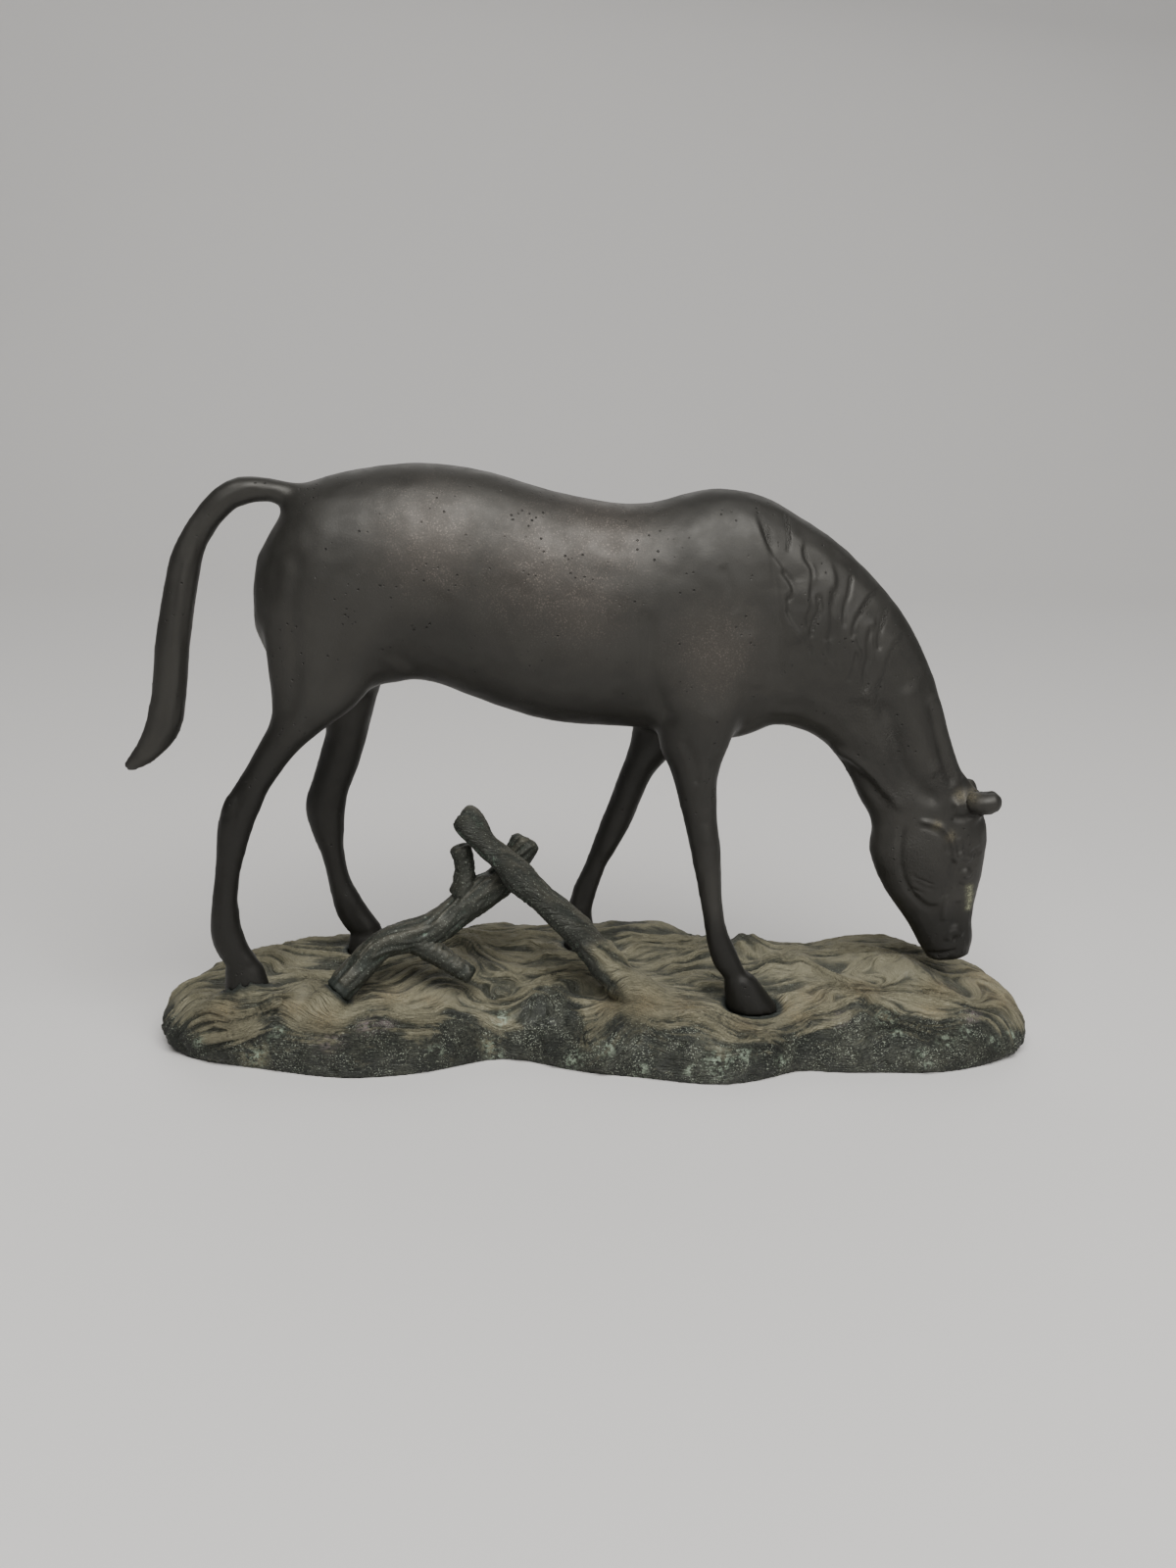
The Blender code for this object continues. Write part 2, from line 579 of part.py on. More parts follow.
def main():
    """Build the three castings."""
    clear_scene()
    bpy.context.scene.collection.children.link(piece_collection)
    bpy.context.scene.collection.children.link(cutter_collection)
    cutter_collection.hide_render = True

    unit = horse_height / 100
    soles = {}
    for name, (hoof, side) in hooves.items():
        middle = (hoof.heel + hoof.toe) / 2 * unit
        soles[name] = ground_height(middle, horse_plane + side) - hoof.sink * unit
    horse = horse_body(soles)

    base = base_body()
    leaning = (leaning_branch, leaning_branch_radius)
    leaning_limb = branch_body("leaning_limb", *leaning, 0.0, cutter_collection)
    combine(base, leaning_limb, "UNION")
    stump = branch_body("forked_foot_stump", forked_foot_stump, forked_branch_radius, 0.0, cutter_collection)
    combine(base, stump, "UNION")
    for name, (hoof, side) in hooves.items():
        socket = bmesh.new()
        hoof_body(socket, hoof, side, soles[name], fit_gap)
        combine(base, add_object(name + "_socket", socket, cutter_collection), "DIFFERENCE")
    foot_room = branch_body("foot_room", forked_branch, forked_branch_radius, fit_gap, cutter_collection)
    combine(base, foot_room, "DIFFERENCE")

    forked = branch_body("forked_branch", forked_branch, forked_branch_radius, 0.0, piece_collection)
    for name, knots, radius in (("stub", upright_stub, stub_radius), ("twig", lower_twig, twig_radius)):
        combine(forked, branch_body(name, knots, radius, 0.0, cutter_collection), "UNION")
    crossing_room = branch_body("crossing_room", *leaning, fit_gap, cutter_collection)
    combine(forked, crossing_room, "DIFFERENCE")

    finish(horse, material("dark_bronze_patina", bronze_colour, bronze_roughness))
    finish(base, material("tan_green_patina", ground_colour, ground_roughness))
    finish(forked, material("green_grey_patina", branch_colour, branch_roughness))
    for cutter in cutter_collection.objects:
        cutter.hide_render = True
        cutter.display_type = "WIRE"
    centre_on_origin([horse, base, forked])


main()
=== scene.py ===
"""Finish of a bronze grazing horse: the horse, its ground with grass strands, and two fallen branches."""

import math
from collections import namedtuple

import bpy
import numpy as np
from bpy.props import FloatProperty, FloatVectorProperty, PointerProperty
from mathutils import Matrix, Vector, noise
from mathutils.bvhtree import BVHTree


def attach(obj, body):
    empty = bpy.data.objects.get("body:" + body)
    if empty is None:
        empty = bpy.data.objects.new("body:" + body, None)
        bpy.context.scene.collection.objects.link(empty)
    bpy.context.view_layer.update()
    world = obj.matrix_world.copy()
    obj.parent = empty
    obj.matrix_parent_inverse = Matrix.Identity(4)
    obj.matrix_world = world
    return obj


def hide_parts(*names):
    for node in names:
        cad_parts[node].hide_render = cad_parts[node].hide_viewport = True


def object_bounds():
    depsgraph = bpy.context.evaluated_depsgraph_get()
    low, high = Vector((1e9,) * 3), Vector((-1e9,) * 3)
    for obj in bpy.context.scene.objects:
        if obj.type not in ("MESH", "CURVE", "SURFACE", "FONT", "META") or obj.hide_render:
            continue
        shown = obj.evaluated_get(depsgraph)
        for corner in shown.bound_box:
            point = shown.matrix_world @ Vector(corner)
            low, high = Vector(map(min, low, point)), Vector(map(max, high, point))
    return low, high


bl_info = {
    "name": "Grazing Horse Bronze",
    "version": (1, 0, 0),
    "blender": (4, 5, 0),
    "location": "View3D > Sidebar > Figurine",
    "description": "Finishes the castings of a bronze grazing horse on its ground",
    "category": "Object",
}

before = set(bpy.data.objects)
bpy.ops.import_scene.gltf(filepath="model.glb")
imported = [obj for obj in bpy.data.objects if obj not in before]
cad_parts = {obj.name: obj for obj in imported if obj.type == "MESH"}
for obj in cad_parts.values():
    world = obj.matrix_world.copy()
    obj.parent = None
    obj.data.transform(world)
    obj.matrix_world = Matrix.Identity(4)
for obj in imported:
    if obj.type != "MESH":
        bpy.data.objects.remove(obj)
cad_low, cad_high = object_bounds()

MM = 0.001

# Camera of the product view: place in metres, pitch, turn and roll in degrees, and lens in millimetres.
CAMERA_PLACE = (-0.0435, -0.6127, 0.2578)
CAMERA_PITCH = 15.0
CAMERA_TURN = 4.0
CAMERA_ROLL = 1.65
CAMERA_LENS = 42.75

# Soft lamps of the studio: place, target and size in metres, and colour.
Lamp = namedtuple("Lamp", "place target size colour")
LAMPS = dict(
    above=Lamp((0.10, -0.95, 1.38), (0, 0, 0.1), (1.7, 1.1), (1.0, 0.99, 0.97)),
    window=Lamp((0.1, 1.3, 1.2), (0, 0, 0.12), (2.2, 1.3), (1.0, 0.99, 0.97)),
    front=Lamp((1.1, -1.2, 0.9), (0, 0, 0.08), (1.4, 1.0), (1.0, 0.98, 0.96)),
)
SKY_COLOUR = (0.86, 0.88, 0.90, 1.0)

# The floor and the wall that it bends up into, in metres.
FLOOR_SIZE = (8.0, 6.0)
FLOOR_SHIFT = -1.2
FLOOR_DROP = 0.2 * MM
WALL_HEIGHT = 5.0
CORNER_RADIUS = 0.8
CORNER_STEPS = 16

# Share of its length over which a carved line, a groove of the tail or a fold of the ground tapers.
LINE_TAPER = 0.12
TAIL_TAPER = 0.05
FOLD_TAPER = 0.22

# How far a surface has to turn to its own side, into the light or to the back to count as facing it.
SIDE_TURN = (-0.02, 0.30)
LIGHT_TURN = (-0.2, 0.8)
BACK_TURN = (0.50, 0.85)

# Bark: sway of its ridges and the length of a sway in millimetres, shares of broad ridges, fine ridges and
# knots, and how far a surface has to turn up or down to be its top or underside.
BARK_SWAY = (1.2, 7)
BARK_SHARES = (0.62, 0.25, 0.35)
BARK_TOP = (0.0, 0.8)
BARK_UNDER = (0.1, 0.8)
BARK_LEAN = 0.3

# Flow of the strands between the traced courses: its unit of length in millimetres, how far it may leave
# them, how closely it keeps each one even, and into how many parts the work is split.
DRAPE_UNIT = 10
DRAPE_EASE = 0.05
DRAPE_HOLD = 0.6
DRAPE_PARTS = 60

# Carved lines on the horse's near side, in millimetres: how far a line stands out, how wide it is, over
# what distance its raised side runs out (none for an even ridge or groove), and its course as places along
# and up. The raised side lies to the right of the course.
Line = namedtuple("Line", "rise width fall course")
MANE_LOCKS = dict(
    edge=Line(0.75, 0.7, 7, (
        (50, 189.4), (52, 183), (55.2, 176.3), (58.3, 171.7), (62.6, 166.6), (63.6, 162.7), (60.9, 160.4),
        (61.3, 157), (64.1, 153.1), (67.3, 149.2), (70.3, 144.6)
    )),
    second=Line(0.85, 0.6, 6, (
        (66.6, 180.5), (67.2, 174.3), (69.9, 171), (70.4, 167.2), (69.5, 162.6), (70.1, 158.8),
        (68.8, 154.6), (69.2, 151), (70.4, 147.6)
    )),
    third=Line(0.75, 0.7, 5.5, (
        (76, 173.4), (77.6, 167.4), (77, 162.5), (77.3, 157.5), (77.9, 153), (75.9, 147.9), (75.6, 144),
        (78.3, 139.9), (81, 136)
    )),
    fourth=Line(0.9, 0.7, 6, (
        (94.6, 165.7), (89.8, 160.1), (86.6, 155.9), (85.1, 151.6), (84.8, 147.7), (87, 143.1),
        (86.2, 139.2), (84.6, 134.6), (84, 129)
    )),
    fifth=Line(0.8, 0.6, 4.5, (
        (92.3, 155.2), (90.9, 148.8), (90.9, 145), (91.4, 141.1), (90.1, 136.5), (90.7, 131.2),
        (91.6, 125.4)
    )),
    sixth=Line(0.7, 0.7, 7, (
        (102.4, 149.6), (98.9, 143.4), (97.4, 138.3), (95.9, 134.4), (93.8, 129.8), (92.4, 123.6)
    )),
)
MANE_GROOVES = dict(
    notch=Line(-0.75, 0.9, 0, ((58.6, 170.6), (62.2, 166.2), (63, 162.8), (60.4, 160.2))),
    edge=Line(-0.5, 0.7, 0, ((60.6, 158.4), (62.6, 154.6), (65.6, 150.9), (68.6, 146.9), (70.6, 142))),
    second=Line(-0.65, 0.8, 0, (
        (66.6, 178.6), (67, 174), (69.2, 170.6), (69.6, 167), (69, 162.4), (69.4, 158.6), (68.2, 154.4),
        (69.4, 148)
    )),
    second_inner=Line(-0.6, 0.8, 0, ((71.4, 162.7), (72.4, 157.4), (70.6, 153.1), (69.6, 147.6))),
    third=Line(-0.6, 1.2, 0, ((77, 165), (76.4, 158), (76.8, 152), (74.9, 146.5))),
    fourth=Line(-0.7, 0.9, 0, ((91.4, 162), (87.4, 157.6), (84.6, 153), (83.8, 147.4))),
    fifth=Line(-0.75, 1.1, 0, ((91, 152.6), (89.6, 147), (90, 141.6), (89, 136), (90.2, 128.6))),
    fourth_low=Line(-0.65, 0.9, 0, ((85.8, 143.6), (85, 138.6), (83.4, 133))),
    sixth=Line(-0.55, 1, 0, ((100.6, 147), (97.6, 142), (95.6, 135), (92.8, 129))),
    fine_one=Line(-0.3, 0.6, 0, ((60.9, 187.8), (61.9, 181), (61.3, 175.2))),
    fine_two=Line(-0.35, 0.7, 0, ((83.6, 168.6), (82.3, 162.3), (80.8, 157.4), (80.9, 150.7))),
    fine_three=Line(-0.35, 0.7, 0, ((97.2, 157.7), (93.7, 149.7), (93.5, 143.3))),
    shoulder=Line(-0.25, 1.2, 0, (
        (53.5, 186.8), (55.2, 176.9), (57.4, 164.6), (59.6, 151.9), (61.3, 142), (61.6, 131.6)
    )),
)
NECK_FORMS = dict(
    jugular=Line(-1.1, 3.2, 0, (
        (95.4, 128), (99.4, 118.4), (102.6, 109.4), (106, 101.5), (112.5, 94.6), (121.6, 90.6)
    )),
    crest_muscle=Line(0.5, 4, 0, ((104, 133), (108.6, 119), (113.4, 107.4), (117.6, 99))),
    behind_crest=Line(-0.5, 1.8, 0, ((112.9, 128.1), (116.2, 115.8), (120.1, 103.9), (124.2, 95.4))),
    crest_edge=Line(0.35, 1.5, 0, ((116.5, 127), (120.2, 114.8), (124.1, 103.9), (127.4, 96.4))),
    throat_groove=Line(-0.5, 2, 0, ((84.5, 104.6), (91.6, 99), (97.2, 93.8), (102.6, 88.4))),
    throat_ridge=Line(0.55, 1.7, 0, ((80.6, 108.9), (89.8, 104.2), (96.1, 99), (101.2, 93.4), (107.6, 87))),
    shoulder_line=Line(-0.2, 1.6, 0, ((38.6, 171.8), (42.3, 164.2), (44.2, 156.4))),
)
HEAD_FORMS = dict(
    jowl=Line(-0.55, 1.2, 0, (
        (107.6, 83.6), (106.6, 78), (106.9, 70.3), (109.2, 62.3), (113.4, 56), (118.7, 52.2), (122.8, 53.6)
    )),
    cheek_ridge=Line(0.75, 0.8, 0, (
        (111.4, 84.4), (116, 83.5), (120.6, 81.9), (123.7, 78.3), (125.2, 73.6), (124.9, 70.4)
    )),
    cheek_under_ridge=Line(-0.4, 0.9, 0, (
        (112, 82.4), (116.4, 81.4), (119.8, 79.6), (122.2, 76.4), (123.4, 72.2)
    )),
    second_ridge=Line(0.4, 0.6, 0, ((126.6, 78.6), (127.9, 74.6), (127.5, 71.6))),
    cheek_front=Line(-0.5, 0.9, 0, ((125.3, 70.4), (125.1, 65.6), (124, 60.4), (122.8, 55.2))),
    brow=Line(0.65, 1.5, 0, ((124.8, 69.9), (127.2, 71.6), (130, 71.4), (132.4, 69.6))),
    eye_socket=Line(-0.55, 2, 0, ((127.6, 66), (130.6, 67.4), (133.4, 66))),
    eye_lid=Line(0.25, 0.6, 0, ((127.8, 65.8), (129.4, 67.6), (131.8, 67.7), (133.7, 66.2))),
    eye_lower_lid=Line(0.15, 0.6, 0, ((127.8, 64.2), (129.8, 62.6), (132.2, 62.8), (133.9, 64.4))),
    tear_groove=Line(-0.4, 0.7, 0, ((127.4, 61.6), (130.2, 60.2), (133.2, 60.8))),
    temple=Line(-0.5, 1.8, 0, ((133.2, 74), (134.6, 71))),
    facial_crest=Line(0.55, 0.9, 0, ((124.6, 57.4), (123.9, 52.6), (124.4, 47))),
    nose_hollow=Line(-0.5, 1.8, 0, ((128.6, 55), (128.2, 49), (128.4, 45))),
    nostril_rim=Line(0.5, 1.1, 0, ((125.8, 39.6), (127.2, 42.6), (129.8, 43), (131.6, 41))),
    nostril=Line(-0.5, 0.9, 0, ((128, 40.8), (129.6, 40))),
    mouth=Line(-0.6, 0.5, 0, ((119.6, 34.6), (122.6, 34.4), (126.3, 35.4), (130.2, 36.6))),
    lower_lip=Line(0.35, 0.9, 0, ((120.4, 32.8), (123.6, 32.4), (127.4, 33.4))),
    wrinkle_one=Line(-0.3, 0.4, 0, ((110.9, 64.8), (114.7, 62.9), (119.4, 61))),
    wrinkle_two=Line(-0.3, 0.4, 0, ((112.4, 62.3), (116.3, 60.3), (120.6, 59.2))),
    wrinkle_three=Line(-0.25, 0.4, 0, ((112.3, 59.1), (116.9, 57.5))),
    ear_base=Line(1.4, 2.5, 0, ((122.6, 88.6), (128, 89.6), (131.6, 90), (135, 90.6), (140, 91.6))),
    ear_under=Line(-0.7, 1, 0, ((123.4, 85.6), (127, 85), (131, 85.4), (134.6, 86))),
)
BODY_FORMS = dict(
    elbow_crease=Line(-0.8, 3, 0, ((15.6, 158.3), (16.2, 147.6), (17.4, 136.3), (21, 125.9), (25.5, 117))),
    fore_top_crease=Line(-0.75, 1.4, 0, ((28.4, 114.6), (31.4, 109.6), (33.4, 103.5), (34.4, 98))),
    shoulder_blade=Line(0.4, 8, 0, ((26, 186), (33, 176), (40, 160), (46, 142), (46, 130))),
    shoulder_point=Line(0.6, 6, 0, ((47, 152), (47, 140), (44, 128), (39, 117))),
    flank_fold=Line(0.4, 3, 0, ((-62, 135), (-66, 129), (-71, 125), (-76.6, 122.6))),
    flank_hollow=Line(-0.8, 6.5, 0, ((-48, 163), (-56, 146), (-64, 135))),
    haunch_groove=Line(-0.5, 3.6, 0, ((-80.5, 158.4), (-86.4, 140), (-90.6, 124), (-94, 112))),
    buttock_groove=Line(-0.4, 2.6, 0, ((-95.5, 176.5), (-98.4, 156), (-97.4, 134.4), (-100.2, 118))),
    rib_line=Line(-0.3, 7, 0, ((0, 175), (-6, 150), (-14, 128))),
)
LEG_FORMS = dict(
    near_hock=Line(0.55, 2, 0, ((-121.4, 92.4), (-120.6, 86))),
    near_hock_groove=Line(-0.4, 1.2, 0, ((-116, 94), (-118.4, 84), (-121, 74))),
    near_hind_tendon=Line(-0.35, 0.9, 0, ((-122.6, 72), (-124, 58), (-124.6, 46))),
    near_knee=Line(0.45, 2, 0, ((37.2, 84.6), (38.6, 78))),
    near_fore_tendon=Line(-0.35, 0.9, 0, ((36.4, 70), (38.6, 58), (40.6, 48))),
    near_fore_arm=Line(-0.4, 1.6, 0, ((39.8, 108.6), (38.6, 98), (37.6, 88))),
)
TAIL_GROOVES = dict(
    outer=Line(-0.3, 0.8, 0, (
        (-113.3, 193.9), (-124.1, 188), (-131.2, 177.7), (-136.2, 162.4), (-138.5, 146.4), (-140.4, 126.7),
        (-144.8, 110.1), (-151.6, 101)
    )),
    inner=Line(-0.3, 0.8, 0, (
        (-108.4, 191.6), (-118.7, 187.6), (-127, 178.4), (-132, 162.4), (-134.6, 146.2), (-136.2, 126.5),
        (-139.6, 110.5)
    )),
)

# Reach of the horse's parts, in millimetres: each pair is the places, or heights, between which a part's
# share rises from none to all.
BODY_UNDER = (114, 130)
RUMP_END = (-106, -96)
NECK_START = (62, 44)
HEAD_START = (118, 104)
PASTERN_TOP = (36, 46)
EAR_START = (127, 132)
EAR_UNDER = (86, 88)
LEG_SHADE = (142, 92)
MUZZLE_SHADE = (58, 44)
LEG_SHADE_MIDDLE = 50
LEG_SHADE_ENDS = (98, 70)
MANE_PLACE = 48
MANE_HEIGHT = 95
HEAD_PLACE = 100
HEAD_HEIGHT = 100

# How far the ear and the eye swell, and the eye's middle and radius, in millimetres; the eye is longer than
# it is high.
EAR_SWELL = 0.9
EYE_SWELL = 1.0
EYE_MIDDLE = (130.7, 65.2)
EYE_RADIUS = 2.3
EYE_LENGTH = 1.15
EYE_PLACE = 120

# Rounds of smoothing, and the steps in which their strength falls off.
MELT_STEPS = 20
HORSE_ROUNDS = 4
BODY_ROUNDS = 52
LEG_ROUNDS = 3
GROUND_ROUNDS = 4
FOOT_ROUNDS = 30
SOCKET_ROUNDS = 6
BRANCH_ROUNDS = 5

# Strength of the carving: mane on the near and the far side, and then neck, head and body.
NEAR_MANE = 1.25
FAR_MANE = 0.8
FORM_STRENGTHS = ((NECK_FORMS, 1.6), (HEAD_FORMS, 1.3), (BODY_FORMS, 1.4))

# Worn patches, also a painted highlight where they face the light, and rough and stained patches, in
# millimetres: place along and up (or across, on the ground), and radius.
HORSE_WEAR_AND_SHEEN = ((38, 143, 13), (-7, 161, 14), (-54, 178, 16), (0, 182, 16), (-20, 170, 18))
HORSE_GRIT = ((100, 112, 9), (90, 125, 9), (118, 100, 7), (104, 92, 6), (112, 70, 9))
HORSE_VERDIGRIS = ((132.8, 59, 1.3), (133.2, 56.6, 1.4), (133.6, 54.2, 1.3), (133.5, 51.8, 1.2))
HORSE_DUST = ((126.4, 92.6, 2.0), (130.8, 92.4, 2.0), (118.6, 82.8, 1.6), (123.6, 79.0, 1.6))

# Folds of the ground, in millimetres: how far a fold rises, how wide its front and its back are, and its
# course. The first figure of a place on the ground is its place along; the second is its place across
# plus its height, so that it also runs down the ground's front.
Fold = namedtuple("Fold", "rise front back course")
GROUND_FOLDS = dict(
    stump_edge=Fold(1.1, 2, 3, (
        (-109.9, -4.3), (-107.8, -1.9), (-105.2, 0.7), (-102.1, 2.4), (-95.8, 4.2), (-92.7, 2.2), (-91, 3.5)
    )),
    arched_fold=Fold(2.6, 2.6, 4, (
        (-109.3, -4.3), (-105.7, -1.4), (-103, -1.8), (-100.3, -3.2), (-94.1, -7.9), (-86.4, -11.3),
        (-82.5, -11.3)
    )),
    curl=Fold(2.3, 2.6, 4.5, (
        (-49.3, 44.9), (-44.1, 48.3), (-41.1, 46.2), (-38.8, 42.6), (-33.6, 30.7), (-27.4, 22.6),
        (-23.4, 21.1)
    )),
    curl_edge=Fold(1.2, 1.8, 1.8, (
        (-49, 43.6), (-46.9, 40.4), (-40.5, 32), (-38.3, 24.8), (-36.6, 19.4), (-30.3, 10.8), (-27, 9)
    )),
    hollow_top=Fold(1.2, 2.2, 2.6, (
        (-29.1, 20.1), (-25.2, 19.2), (-16.7, 17.5), (-12.7, 18.3), (-9.8, 19.7), (-1.7, 22.6), (3.4, 21.4)
    )),
    rising_ridge=Fold(1.4, 2.6, 3, (
        (-36, 16.4), (-31.5, 15.2), (-26.9, 15), (-19, 12), (-15.6, 13.5), (-12.2, 16.1), (-9.8, 18.7)
    )),
    hollow_rim=Fold(1.5, 3, 2.4, (
        (-9.8, 18.7), (-7.7, 13.2), (-5.6, 7.6), (-2.3, 5.4), (2.1, 4.7), (6.6, 4.8)
    )),
    second_fold=Fold(1.3, 2.2, 3, (
        (-69.8, -0), (-65.9, -2.1), (-61.4, -3.8), (-53.8, -1.3), (-49.4, 1.2), (-46.1, 4.5), (-43.9, 10)
    )),
    front_peak=Fold(2.2, 2.6, 4, (
        (-44.9, -1.1), (-36, -2.4), (-33.2, -3.7), (-30.4, -5.2), (-24.2, -3), (-19.8, 2.3), (-17.4, 9)
    )),
    back_mound=Fold(1, 3, 4, (
        (7.1, 59.9), (11.5, 62.4), (20.5, 63.1), (24.7, 62.4), (28.9, 61.8), (36.8, 60), (39.4, 55.7)
    )),
    hoof_rim=Fold(1.6, 2.4, 3.4, (
        (12.3, -3.7), (22.5, -8.9), (33.3, -7.3), (40, -8.5), (50.4, -17.4), (61.9, -17.7), (77.2, -7.1)
    )),
    lower_rim=Fold(1.2, 1.8, 2.4, (
        (18.5, -12.7), (24.9, -18.1), (29.3, -20), (36.7, -24), (45.3, -27.9), (49.9, -26.4), (58.6, -22.8)
    )),
    branch_ridge=Fold(2.6, 3.4, 3, (
        (5, -7.4), (7.3, -3.8), (9.7, -0.4), (12.4, 2.3), (15, 2.9), (17.7, 3.5), (20, 2.3)
    )),
    side_ridge=Fold(1.6, 2.2, 2.2, ((0.9, -23.5), (4.7, -19.4), (8.6, -15), (12, -10.2), (14.3, -7.8))),
    back_swell=Fold(2, 3, 5, (
        (55.4, 56.4), (58.3, 56.5), (61.3, 50.8), (63.7, 45.7), (66.1, 40.6), (68.7, 37.3), (72.8, 36.7)
    )),
    middle_swell=Fold(1.6, 2.6, 4, (
        (59.5, 29.7), (63.8, 31.1), (67.6, 33.2), (72, 35.3), (76.1, 34.7), (80.6, 33.4), (82.7, 31.3)
    )),
    dark_fold=Fold(3, 4, 4.2, (
        (98.5, 24.1), (106.3, 32.2), (112.9, 32.8), (118.4, 24.7), (121.2, 19.4), (126.2, 8.6), (134.9, 6.6)
    )),
    middle_fold=Fold(1.7, 3.4, 4.2, (
        (74.5, 36.1), (77.9, 34.8), (83.3, 27.9), (86.1, 23.2), (89.7, 19.9), (97.7, 15.4), (102.8, 14.8)
    )),
    front_ridge=Fold(1.9, 2.4, 3.6, (
        (88.6, 12.9), (100, 3.7), (108.6, -4.6), (117.5, -7), (129.7, -2.2), (138.1, -3.6), (146, -14.8)
    )),
    side_arc=Fold(1.3, 1.8, 2.4, (
        (94.2, -20.4), (96, -17.2), (99.5, -15.6), (103.5, -15.1), (108, -15.6), (111.3, -17.2),
        (114.6, -18.8)
    )),
    low_arc=Fold(1.2, 1.8, 2.2, (
        (103.8, -12.1), (107.1, -13), (110.3, -15.6), (113.5, -18), (116.8, -20.3), (120.8, -21.3),
        (125.6, -21.2)
    )),
)

# Hollows between the folds.
GROUND_HOLLOWS = dict(
    pocket=Fold(-1.8, 3, 2.4, ((-108.1, -9.7), (-105.4, -11.1), (-102.7, -12.5), (-99.8, -15.7))),
    eye_hollow=Fold(-1.8, 3.2, 3.2, ((-5.4, 14.2), (-1, 11.4), (3.5, 10.1), (7.9, 7.9))),
    curl_hollow=Fold(-1.4, 2.5, 2.5, ((-40.5, 25.7), (-37.7, 18.3), (-34.9, 12.6))),
    dark_hollow=Fold(-1.2, 2, 2, ((115, 17.8), (117.6, 12.1), (120.4, 8.5))),
    crack=Fold(-1.3, 0.9, 0.9, ((65.1, -25.2), (64.8, -28.7), (65.6, -30.3))),
    crease=Fold(-1.2, 1.2, 1.2, ((113, -22.7), (113.4, -26.1), (115.3, -28.3))),
)

